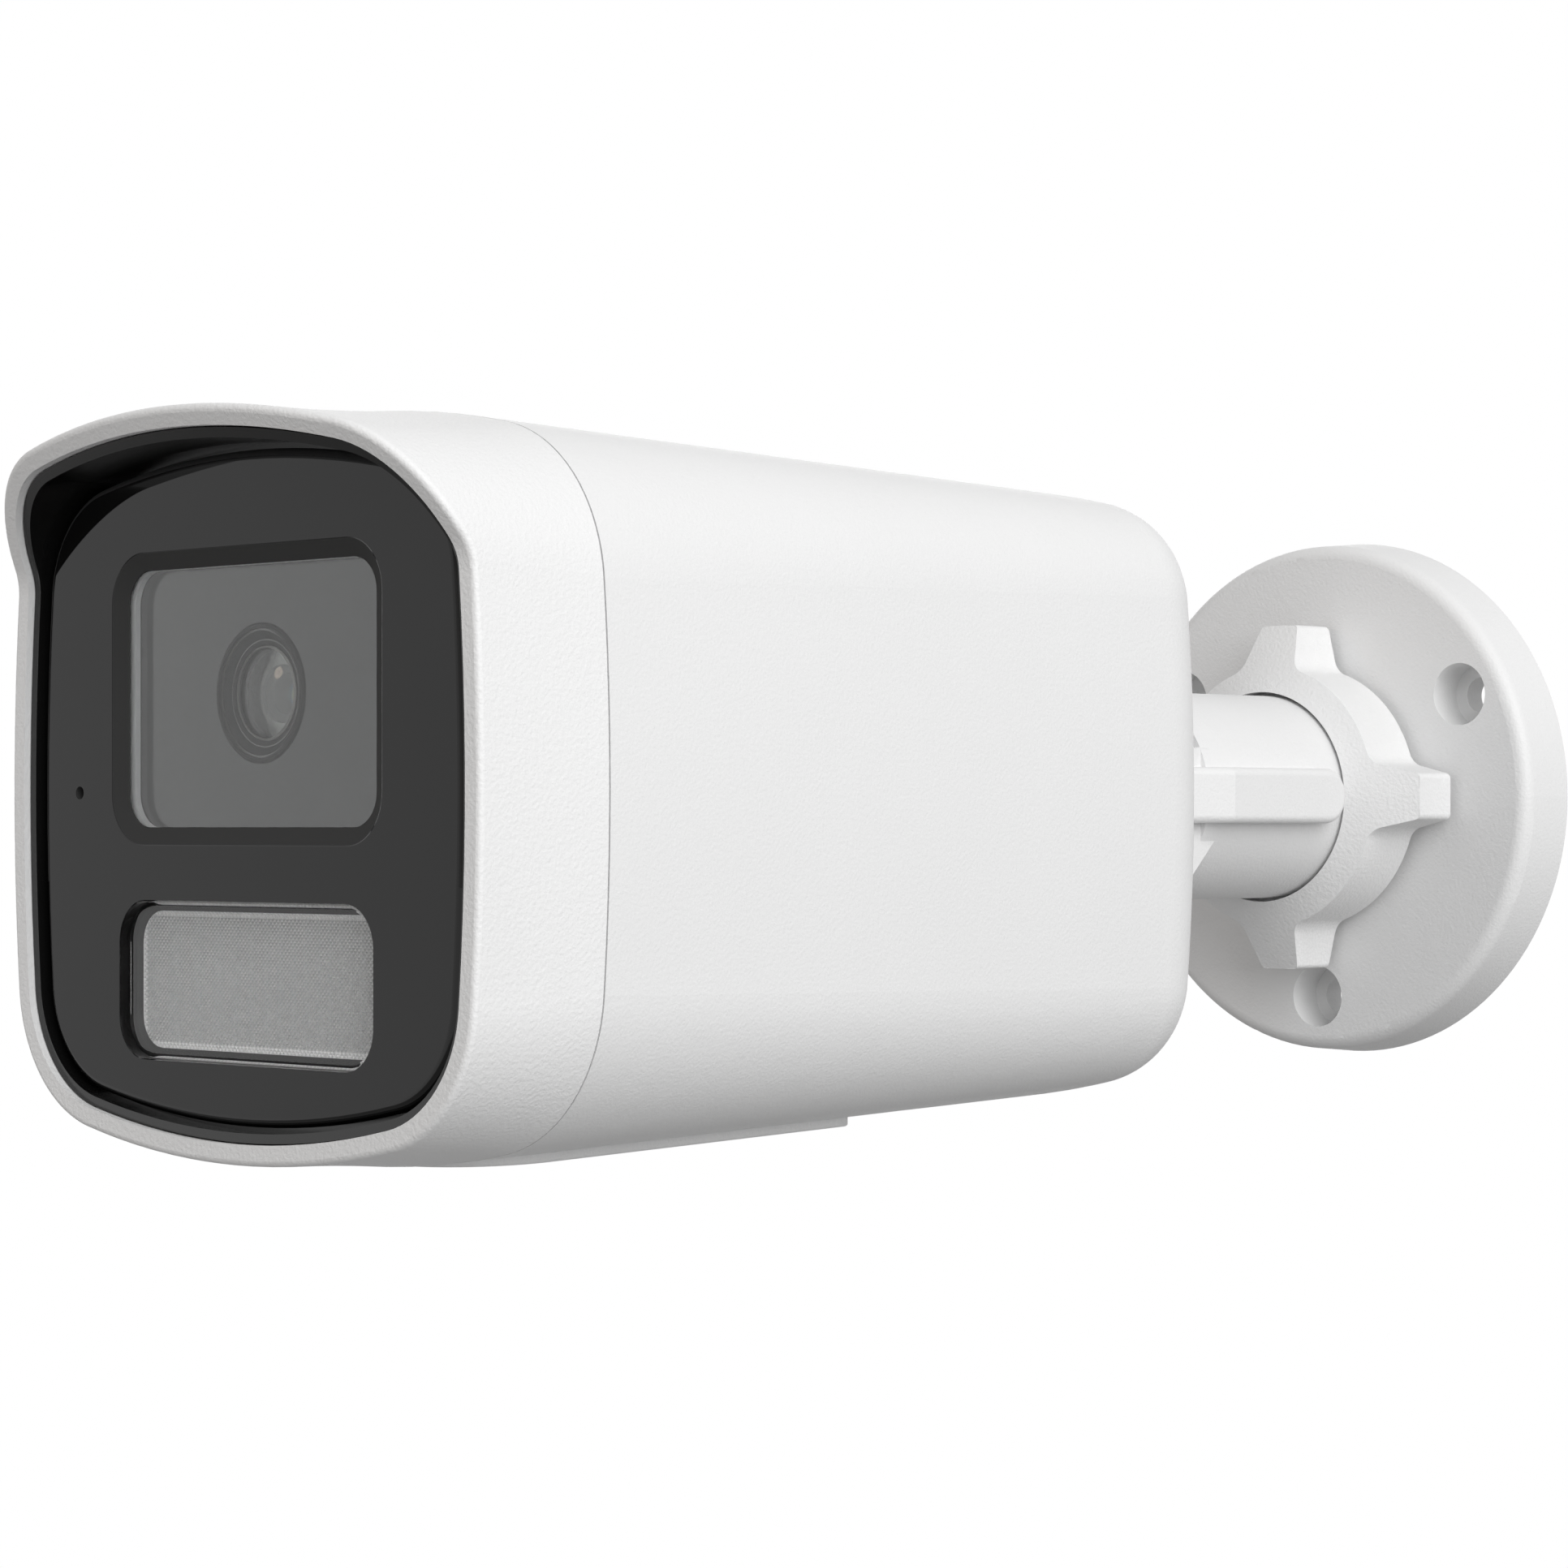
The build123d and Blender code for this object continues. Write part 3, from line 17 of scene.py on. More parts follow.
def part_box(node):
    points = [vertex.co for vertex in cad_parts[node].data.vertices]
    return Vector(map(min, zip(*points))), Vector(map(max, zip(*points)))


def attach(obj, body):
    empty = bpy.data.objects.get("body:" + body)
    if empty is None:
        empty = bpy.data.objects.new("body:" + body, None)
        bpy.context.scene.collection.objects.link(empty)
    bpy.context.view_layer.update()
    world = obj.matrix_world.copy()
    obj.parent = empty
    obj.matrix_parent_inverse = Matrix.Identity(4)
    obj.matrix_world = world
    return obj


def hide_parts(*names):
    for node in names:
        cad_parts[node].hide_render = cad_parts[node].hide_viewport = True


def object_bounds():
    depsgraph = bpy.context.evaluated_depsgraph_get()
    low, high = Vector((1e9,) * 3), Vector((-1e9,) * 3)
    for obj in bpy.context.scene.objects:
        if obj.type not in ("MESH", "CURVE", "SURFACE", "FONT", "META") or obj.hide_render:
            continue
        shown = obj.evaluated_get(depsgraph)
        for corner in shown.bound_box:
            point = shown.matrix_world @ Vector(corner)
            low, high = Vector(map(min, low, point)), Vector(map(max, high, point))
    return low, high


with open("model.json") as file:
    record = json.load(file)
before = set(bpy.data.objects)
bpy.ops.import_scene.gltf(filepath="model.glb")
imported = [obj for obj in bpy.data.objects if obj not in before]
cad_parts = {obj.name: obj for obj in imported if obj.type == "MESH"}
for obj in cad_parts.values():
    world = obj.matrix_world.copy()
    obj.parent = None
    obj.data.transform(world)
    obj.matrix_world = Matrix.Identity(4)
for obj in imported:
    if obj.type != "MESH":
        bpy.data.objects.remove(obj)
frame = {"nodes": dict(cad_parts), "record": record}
CAD_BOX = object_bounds()

bl_info = {
    "name": "Security Camera Looks",
    "version": (1, 0, 0),
    "blender": (4, 5, 0),
    "location": "View3D > Sidebar > Camera Looks",
    "description": "Finishes, lens, lamp cover and studio for a wall-mounted security camera",
    "category": "Object",
}

MM = 0.001

# Turns a piece that is built upwards so that it faces out from the wall.
OUTWARD = Matrix.Rotation(math.radians(90), 4, "X")

# Edges sharper than this angle stay crisp, and faces larger than this area stay flat.
SHARP_ANGLE = math.radians(25)
FLAT_AREA = 10 * MM * MM

FULL_TURN = math.radians(360)
SPIN_STEPS = 96
DOME_STEPS = 10
CORNER_STEPS = 6
BEVEL_STEPS = 5
MERGE_DISTANCE = 0.001 * MM
CUT_DISTANCE = 0.0001 * MM

# Specks to one grain cell, and a speck's height beside a cell's.
SPECKS_PER_CELL = 2.3
SPECK_HEIGHT = 0.45

# Drawn metal: many lines across, few changes along.
METAL_LINES = (6000.0, 300.0, 6000.0)

# What dust adds to the roughness of glass, and the index of its thin coating.
DUST_ROUGHNESS = 0.02
COATING_INDEX = 1.23

# Every finish group gives these three to its material.
FINISH_OUTPUTS = {
    "Color": "NodeSocketColor",
    "Roughness": "NodeSocketFloat",
    "Height": "NodeSocketFloat",
}


def grey(level):
    """An opaque grey."""
    return (level, level, level, 1)


def shade(name, text, value):
    """A colour setting."""
    return FloatVectorProperty(
        name=name, description=text, default=value, size=4, min=0, max=1, subtype="COLOR"
    )


def length(name, text, value):
    """A length setting in metres."""
    return FloatProperty(
        name=name,
        description=text,
        default=value,
        min=0,
        precision=5,
        unit="LENGTH",
        subtype="DISTANCE",
    )


def amount(name, text, value):
    """A plain number setting."""
    return FloatProperty(name=name, description=text, default=value, min=0)


class ShellSettings(PropertyGroup):
    """White coat and mouldings of the bracket and body."""

    coat: shade("Coat", "Colour of the powder coat", grey(0.80))
    moulding: shade("Moulding", "Colour of the white mouldings", grey(0.82))
    coat_grain: length("Coat grain", "Size of the coat's orange-peel cells", 0.38 * MM)
    moulding_grain: length("Moulding grain", "Size of the front cover's grain cells", 0.45 * MM)
    grain_depth: length("Grain depth", "Height of the grain", 0.045 * MM)


class FrontSettings(PropertyGroup):
    """Black front, window and lens."""

    panel: shade("Panel", "Colour of the front panel", grey(0.004))
    recess: shade("Recess", "Colour of the dull bevel round the window", grey(0.03))
    lining: shade("Lining", "Colour of the visor's black lining", grey(0.006))
    ring: shade("Ring", "Colour of the satin rings in the lens", (0.045, 0.045, 0.04, 1))
    collar: shade("Collar", "Colour of the collar round the lens glass", (0.16, 0.16, 0.15, 1))
    gasket: shade("Gasket", "Colour of the window gasket", grey(0.8))
    glass_index: amount("Glass index", "Index of refraction of window and filter", 1.42)
    coating: amount("Coating", "Thickness of the lens coating in nanometres", 140.0)


class LampCoverSettings(PropertyGroup):
    """Clear cover of the lamps with prisms on its inside."""

    prism: length("Prism", "Side of one prism's square base", 0.43 * MM)
    prism_depth: length("Prism depth", "Height of one prism", 0.3 * MM)
    corner: length("Corner", "Corner radius of the cover", 4.5 * MM)
    flange: length("Flange", "Width of the flange behind the panel", 1.85 * MM)
    flange_thickness: length("Flange thickness", "Thickness of that flange", 1.2 * MM)
    bevel: length("Bevel", "Width of the bevel round the front", 0.7 * MM)
    border: length("Border", "Width of the plain border round the prisms", 1.1 * MM)
    # Facets within this width of the field's edge all take the paler, painted-lit grey: a painted
    # highlight along the edge.
    painted_highlight_rows: length("Painted highlight rows", "Width of the brighter rows at the field's edge", 0.6 * MM)
    border_black: shade("Border black", "Colour behind the plain border", grey(0.01))
    index: amount("Index", "Index of refraction of the cover", 1.5)
    frost: amount("Frost", "Roughness of the prisms", 0.2)
    clarity: amount("Clarity", "Share of the light that the prisms let through", 0.1)


class StageSettings(PropertyGroup):
    """Floor, lamps and viewpoint."""

    floor_drop: length("Floor drop", "Distance of the floor below the wall plate's centre", 0.30)
    floor_size: length("Floor size", "Side of the floor", 12.0)
    paper: shade("Paper", "Colour with which the floor throws light back", grey(0.39))
    pale_paper: shade("Pale paper", "Colour in which the floor is seen", grey(0.95))
    paper_radius: length("Paper radius", "Radius within which the floor keeps its colour", 0.8)
    fade: length("Fade", "Radius beyond which the floor is white", 1.0)
    ambient: amount("Ambient", "Strength of the even light from all round", 0.43)
    key: amount("Key", "Power of the large soft lamp over the camera's side, in watts", 23.0)
    fill: amount("Fill", "Power of the soft lamp behind the camera, in watts", 8.0)
    glint: amount("Glint", "Power of the small lamp that the lens reflects, in watts", 0.4)
    glint_colour: shade("Glint colour", "Colour of that small lamp", (1.0, 0.78, 0.6, 1))
    lens: FloatProperty(
        name="Lens",
        description="Focal length of the viewpoint",
        default=95.57,
        min=1,
        subtype="DISTANCE_CAMERA",
    )
    eye: FloatVectorProperty(
        name="Eye",
        description="Place of the viewpoint",
        default=(0.34265, -0.45286, -0.0040),
        subtype="TRANSLATION",
    )
    shift: FloatVectorProperty(
        name="Shift", description="Shift of the picture", default=(0.0038, 0.0276), size=2
    )


class CameraLooks(PropertyGroup):
    """All settings of the security camera's looks."""

    shell: PointerProperty(type=ShellSettings)
    front: PointerProperty(type=FrontSettings)
    lamp_cover: PointerProperty(type=LampCoverSettings)
    stage: PointerProperty(type=StageSettings)


def node_tree_of(material_name):
    """A new material with an empty node tree."""
    material = bpy.data.materials.new(material_name)
    material.use_nodes = True
    material.node_tree.nodes.clear()
    return material, material.node_tree


def add_node(tree, kind, label, **values):
    """A node of one kind with values for its sockets, whose names have _ for spaces."""
    node = tree.nodes.new(kind)
    node.label = label
    for socket, value in values.items():
        node.inputs[socket.replace("_", " ")].default_value = value
    return node


def place_on(tree):
    """Object coordinates in a tree."""
    return add_node(tree, "ShaderNodeTexCoord", "Place on the piece").outputs["Object"]


def math_node(tree, operation, label):
    """A math node with its operation."""
    node = add_node(tree, "ShaderNodeMath", label)
    node.operation = operation
    return node


def colour_mix(tree, label):
    """A node that mixes two colours."""
    node = add_node(tree, "ShaderNodeMix", label)
    node.data_type = "RGBA"
    return node


def new_group(name, inputs):
    """An empty finish group with its two ends."""
    group = bpy.data.node_groups.new(name, "ShaderNodeTree")
    for socket, (kind, value) in inputs.items():
        made = group.interface.new_socket(name=socket, in_out="INPUT", socket_type=kind)
        made.default_value = value
    for socket, kind in FINISH_OUTPUTS.items():
        group.interface.new_socket(name=socket, in_out="OUTPUT", socket_type=kind)
    return group, group.nodes.new("NodeGroupInput"), group.nodes.new("NodeGroupOutput")


def link_finish(group, start, end, tone_mask, sheen_mask, height):
    """Lets masks choose a finish group's tone and roughness, and hands on its height."""
    link = group.links.new
    tone = colour_mix(group, "Between the tones")
    sheen = add_node(group, "ShaderNodeMapRange", "Varying roughness")
    link(tone_mask, tone.inputs["Factor"])
    link(start.outputs["First tone"], tone.inputs["A"])
    link(start.outputs["Second tone"], tone.inputs["B"])
    link(sheen_mask, sheen.inputs["Value"])
    link(start.outputs["Smooth"], sheen.inputs["To Min"])
    link(start.outputs["Rough"], sheen.inputs["To Max"])
    link(tone.outputs["Result"], end.inputs["Color"])
    link(sheen.outputs["Result"], end.inputs["Roughness"])
    link(height, end.inputs["Height"])


def grain_group():
    """Orange-peel grain: drifting colour, varying roughness and the height of cells and specks."""
    if "Moulded Grain" in bpy.data.node_groups:
        return bpy.data.node_groups["Moulded Grain"]
    group, start, end = new_group(
        "Moulded Grain",
        {
            "First tone": ("NodeSocketColor", grey(0.8)),
            "Second tone": ("NodeSocketColor", grey(0.76)),
            "Cells per metre": ("NodeSocketFloat", 1400.0),
            "Smooth": ("NodeSocketFloat", 0.4),
            "Rough": ("NodeSocketFloat", 0.5),
        },
    )
    link = group.links.new
    place = place_on(group)
    cells = add_node(group, "ShaderNodeTexNoise", "Grain cells", Detail=1.0, Roughness=0.4)
    specks = add_node(group, "ShaderNodeTexNoise", "Fine specks", Detail=2.0, Roughness=0.5)
    drift = add_node(
        group, "ShaderNodeTexNoise", "Slow drift", Scale=45.0, Detail=3.0, Roughness=0.6
    )
    finer = math_node(group, "MULTIPLY", "Specks per metre")
    finer.inputs[1].default_value = SPECKS_PER_CELL
    height = math_node(group, "MULTIPLY_ADD", "Grain height")
    height.inputs[1].default_value = SPECK_HEIGHT
    for texture in (cells, specks, drift):
        link(place, texture.inputs["Vector"])
    link(start.outputs["Cells per metre"], cells.inputs["Scale"])
    link(start.outputs["Cells per metre"], finer.inputs[0])
    link(finer.outputs[0], specks.inputs["Scale"])
    link(specks.outputs["Fac"], height.inputs[0])
    link(cells.outputs["Fac"], height.inputs[2])
    link_finish(
        group, start, end, drift.outputs["Fac"], specks.outputs["Fac"], height.outputs[0]
    )
    return group


def metal_group():
    """Drawn or turned metal: fine lines along one direction and faint stains."""
    if "Worked Metal" in bpy.data.node_groups:
        return bpy.data.node_groups["Worked Metal"]
    group, start, end = new_group(
        "Worked Metal",
        {
            "First tone": ("NodeSocketColor", grey(0.7)),
            "Second tone": ("NodeSocketColor", grey(0.5)),
            "Smooth": ("NodeSocketFloat", 0.2),
            "Rough": ("NodeSocketFloat", 0.4),
        },
    )
    link = group.links.new
    place = place_on(group)
    stretch = add_node(group, "ShaderNodeMapping", "Along the lines", Scale=METAL_LINES)
    lines = add_node(
        group, "ShaderNodeTexNoise", "Drawn lines", Scale=1.0, Detail=3.0, Roughness=0.6
    )
    stains = add_node(
        group, "ShaderNodeTexNoise", "Faint stains", Scale=160.0, Detail=4.0, Roughness=0.6
    )
    link(place, stretch.inputs["Vector"])
    link(stretch.outputs["Vector"], lines.inputs["Vector"])
    link(place, stains.inputs["Vector"])
    streaks = lines.outputs["Fac"]
    link_finish(group, start, end, stains.outputs["Fac"], streaks, streaks)
    return group


def board_group():
    """Solder mask in the first tone, and in the second where it covers copper tracks."""
    if "Circuit Tracks" in bpy.data.node_groups:
        return bpy.data.node_groups["Circuit Tracks"]
    group, start, end = new_group(
        "Circuit Tracks",
        {
            "First tone": ("NodeSocketColor", (0.01, 0.07, 0.03, 1)),
            "Second tone": ("NodeSocketColor", (0.03, 0.16, 0.07, 1)),
            "Tracks per metre": ("NodeSocketFloat", 500.0),
            "Smooth": ("NodeSocketFloat", 0.3),
            "Rough": ("NodeSocketFloat", 0.45),
        },
    )
    link = group.links.new
    tracks = add_node(group, "ShaderNodeTexVoronoi", "Track routes", Randomness=0.7)
    tracks.distance = "CHEBYCHEV"
    edge = add_node(group, "ShaderNodeMapRange", "Track edges", From_Min=0.35, From_Max=0.42)
    link(place_on(group), tracks.inputs["Vector"])
    link(start.outputs["Tracks per metre"], tracks.inputs["Scale"])
    link(tracks.outputs["Distance"], edge.inputs["Value"])
    mask = edge.outputs["Result"]
    link_finish(group, start, end, mask, mask, mask)
    return group


def grouped_material(name, group, values, height, **surface):
    """A material with a finish group's colour, roughness and bump.

    The surface values go to the shader's own sockets.
    """
    material, tree = node_tree_of(name)
    link = tree.links.new
    detail = tree.nodes.new("ShaderNodeGroup")
    detail.node_tree = group
    for socket, value in values.items():
        detail.inputs[socket].default_value = value
    bump = add_node(tree, "ShaderNodeBump", "Grain relief", Strength=1.0, Distance=height)
    shader = add_node(tree, "ShaderNodeBsdfPrincipled", name, **surface)
    end = tree.nodes.new("ShaderNodeOutputMaterial")
    link(detail.outputs["Color"], shader.inputs["Base Color"])
    link(detail.outputs["Roughness"], shader.inputs["Roughness"])
    link(detail.outputs["Height"], bump.inputs["Height"])
    link(bump.outputs["Normal"], shader.inputs["Normal"])
    link(shader.outputs["BSDF"], end.inputs["Surface"])
    return material


def darker(colour, share):
    """A colour brought down by a share of itself."""
    return tuple(part * (1 - share) for part in colour[:3]) + (1,)


def grained_material(name, colour, drift, cell, roughness, depth, **surface):
    """Paint, moulding or rubber whose colour drifts by a share, with grain of a size and depth."""
    smooth, rough = roughness
    values = {
        "First tone": colour,
        "Second tone": darker(colour, drift),
        "Cells per metre": 1 / cell,
        "Smooth": smooth,
        "Rough": rough,
    }
    return grouped_material(name, grain_group(), values, depth, **surface)


def dull_recess(material, corner, colour, roughness):
    """Makes a material dull, in another colour, where it lies deeper and higher than a corner."""
    tree = material.node_tree
    link = tree.links.new
    shader = next(node for node in tree.nodes if node.type == "BSDF_PRINCIPLED")
    parts = add_node(tree, "ShaderNodeSeparateXYZ", "Depth and height")
    recess = math_node(tree, "MULTIPLY", "In the recess")
    link(place_on(tree), parts.inputs["Vector"])
    for socket, (axis, limit) in enumerate((("Y", corner.y), ("Z", corner.z))):
        past = math_node(tree, "GREATER_THAN", "Past the corner")
        past.inputs[1].default_value = limit
        link(parts.outputs[axis], past.inputs[0])
        link(past.outputs[0], recess.inputs[socket])
    tone = colour_mix(tree, "Recess tone")
    tone.inputs["B"].default_value = colour
    sheen = add_node(tree, "ShaderNodeMapRange", "Recess roughness", To_Max=roughness)
    link(recess.outputs[0], tone.inputs["Factor"])
    link(recess.outputs[0], sheen.inputs["Value"])
    link(shader.inputs["Base Color"].links[0].from_socket, tone.inputs["A"])
    link(shader.inputs["Roughness"].links[0].from_socket, sheen.inputs["To Min"])
    link(tone.outputs["Result"], shader.inputs["Base Color"])
    link(sheen.outputs["Result"], shader.inputs["Roughness"])


def clear_material(name, colour, index, roughness=0.0, film=0.0, clarity=1.0):
    """Clear glass or plastic that faint dust dulls in places, with a thin coating if asked."""
    material, tree = node_tree_of(name)
    link = tree.links.new
    dust = add_node(tree, "ShaderNodeTexNoise", "Faint dust", Scale=400.0, Detail=4.0)
    dull = add_node(
        tree,
        "ShaderNodeMapRange",
        "Dulled by dust",
        From_Min=0.45,
        From_Max=0.9,
        To_Min=roughness,
        To_Max=roughness + DUST_ROUGHNESS,
    )
    shader = add_node(
        tree,
        "ShaderNodeBsdfPrincipled",
        name,
        Base_Color=colour,
        Transmission_Weight=clarity,
        IOR=index,
        Thin_Film_Thickness=film,
        Thin_Film_IOR=COATING_INDEX,
    )
    end = tree.nodes.new("ShaderNodeOutputMaterial")
    link(place_on(tree), dust.inputs["Vector"])
    link(dust.outputs["Fac"], dull.inputs["Value"])
    link(dull.outputs["Result"], shader.inputs["Roughness"])
    link(shader.outputs["BSDF"], end.inputs["Surface"])
    return material


def dress(slot, material):
    """Gives a material to every solid of one slot."""
    subparts = frame["record"]["subparts"]
    nodes = [part["node"] for part in subparts if part["material_slot"] == slot]
    if not nodes:
        raise RuntimeError(f"no solid uses the slot {slot}")
    for node in nodes:
        mesh = frame["nodes"][node].data
        mesh.materials.clear()
        mesh.materials.append(material)


def finished_object(name, bm, material, body):
    """An object at the origin for a finished bmesh, riding on a body."""
    bmesh.ops.recalc_face_normals(bm, faces=bm.faces)
    data = bpy.data.meshes.new(name)
    bm.to_mesh(data)
    bm.free()
    data.materials.append(material)
    data.shade_smooth()
    data.set_sharp_from_angle(angle=SHARP_ANGLE)
    for polygon in data.polygons:
        polygon.use_smooth = polygon.area < FLAT_AREA
    piece = bpy.data.objects.new(name, data)
    bpy.context.scene.collection.objects.link(piece)
    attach(piece, body)
    return piece


class SECURITYCAM_OT_coat_castings(Operator):
    """Puts the white powder coat on the castings of the bracket and the body."""

    bl_idname = "securitycam.coat_castings"
    bl_label = "Coat the castings"

    def execute(self, context):
        shell = context.scene.camera_looks.shell
        coat = grained_material(
            "white powder coat",
            shell.coat,
            drift=0.03,
            cell=shell.coat_grain,
            roughness=(0.42, 0.52),
            depth=shell.grain_depth,
        )
        dress("white_casting", coat)
        return {"FINISHED"}


class SECURITYCAM_OT_finish_mouldings(Operator):
    """Gives the front cover, lock ring, hatch and small white mouldings their grain."""

    bl_idname = "securitycam.finish_mouldings"
    bl_label = "Finish the white mouldings"

    # The mouldings' grain is this much deeper than the coat's.
    relief = 1.6

    def execute(self, context):
        shell = context.scene.camera_looks.shell
        moulding = grained_material(
            "white moulding",
            shell.moulding,
            drift=0.03,
            cell=shell.moulding_grain,
            roughness=(0.45, 0.55),
            depth=shell.grain_depth * self.relief,
        )
        dress("white_moulding", moulding)
        for slot, name in (("white_nylon", "natural nylon"), ("button_white", "button moulding")):
            small = grained_material(
                name,
                shell.moulding,
                drift=0.1,
                cell=0.4 * MM,
                roughness=(0.5, 0.6),
                depth=0.01 * MM,
            )
            dress(slot, small)
        return {"FINISHED"}


class SECURITYCAM_OT_finish_front(Operator):
    """Makes the front panel smooth and black, its lining satin and the window gasket pale."""

    bl_idname = "securitycam.finish_front"
    bl_label = "Finish the black front"

    # The window's bevel starts this far behind the panel's face, and has this roughness.
    bevel_start = 0.05 * MM
    bevel_roughness = 0.9

    def execute(self, context):
        front = context.scene.camera_looks.front
        panel = grained_material(
            "smooth black panel",
            front.panel,
            drift=0.3,
            cell=2.0 * MM,
            roughness=(0.02, 0.04),
            depth=0.0002 * MM,
            IOR=1.39,
        )
        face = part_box("front_panel")[0].y
        corner = Vector((0, face + self.bevel_start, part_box("light_lens")[1].z))
        dull_recess(panel, corner, front.recess, self.bevel_roughness)
        dress("black_panel", panel)
        lining = grained_material(
            "black satin moulding",
            front.lining,
            drift=0.3,
            cell=0.5 * MM,
            roughness=(0.12, 0.2),
            depth=0.002 * MM,
            IOR=1.5,
        )
        dress("black_moulding", lining)
        gasket = grained_material(
            "window gasket",
            front.gasket,
            drift=0.1,
            cell=0.3 * MM,
            roughness=(0.45, 0.6),
            depth=0.02 * MM,
        )
        dress("grey_gasket", gasket)
        return {"FINISHED"}


class SECURITYCAM_OT_finish_optics(Operator):
    """Makes the window clear and coats the glass behind it."""

    bl_idname = "securitycam.finish_optics"
    bl_label = "Finish window and filter glass"

    window_tint = (0.97, 0.98, 0.98, 1)
    glass_tint = (0.9, 0.93, 0.9, 1)

    def execute(self, context):
        front = context.scene.camera_looks.front
        window = clear_material("clear window", self.window_tint, front.glass_index)
        dress("clear_window", window)
        coated = clear_material(
            "coated lens glass", self.glass_tint, front.glass_index, film=front.coating
        )
        dress("lens_glass", coated)
        return {"FINISHED"}


def turned_piece(bm, profile):
    """Spins a closed profile of (radius, reach) corners round the axis at the origin."""
    corners = [bm.verts.new((radius, 0, reach)) for radius, reach in profile]
    edges = [bm.edges.new(pair) for pair in zip(corners, corners[1:] + corners[:1])]
    bmesh.ops.spin(
        bm,
        geom=corners + edges,
        cent=(0, 0, 0),
        axis=(0, 0, 1),
        angle=FULL_TURN,
        steps=SPIN_STEPS,
        use_merge=True,
    )
    bmesh.ops.remove_doubles(bm, verts=bm.verts, dist=MERGE_DISTANCE)


def dome(rim_radius, rim_reach, crown):
    """Profile corners of a dome from its middle to its rim."""
    radius = (rim_radius**2 + crown**2) / (2 * abs(crown))
    span = math.asin(rim_radius / radius)
    rise = math.copysign(1, crown)
    middle = rim_reach + crown - rise * radius
    turns = [span * step / DOME_STEPS for step in range(DOME_STEPS + 1)]
    return [(radius * math.sin(turn), middle + rise * radius * math.cos(turn)) for turn in turns]


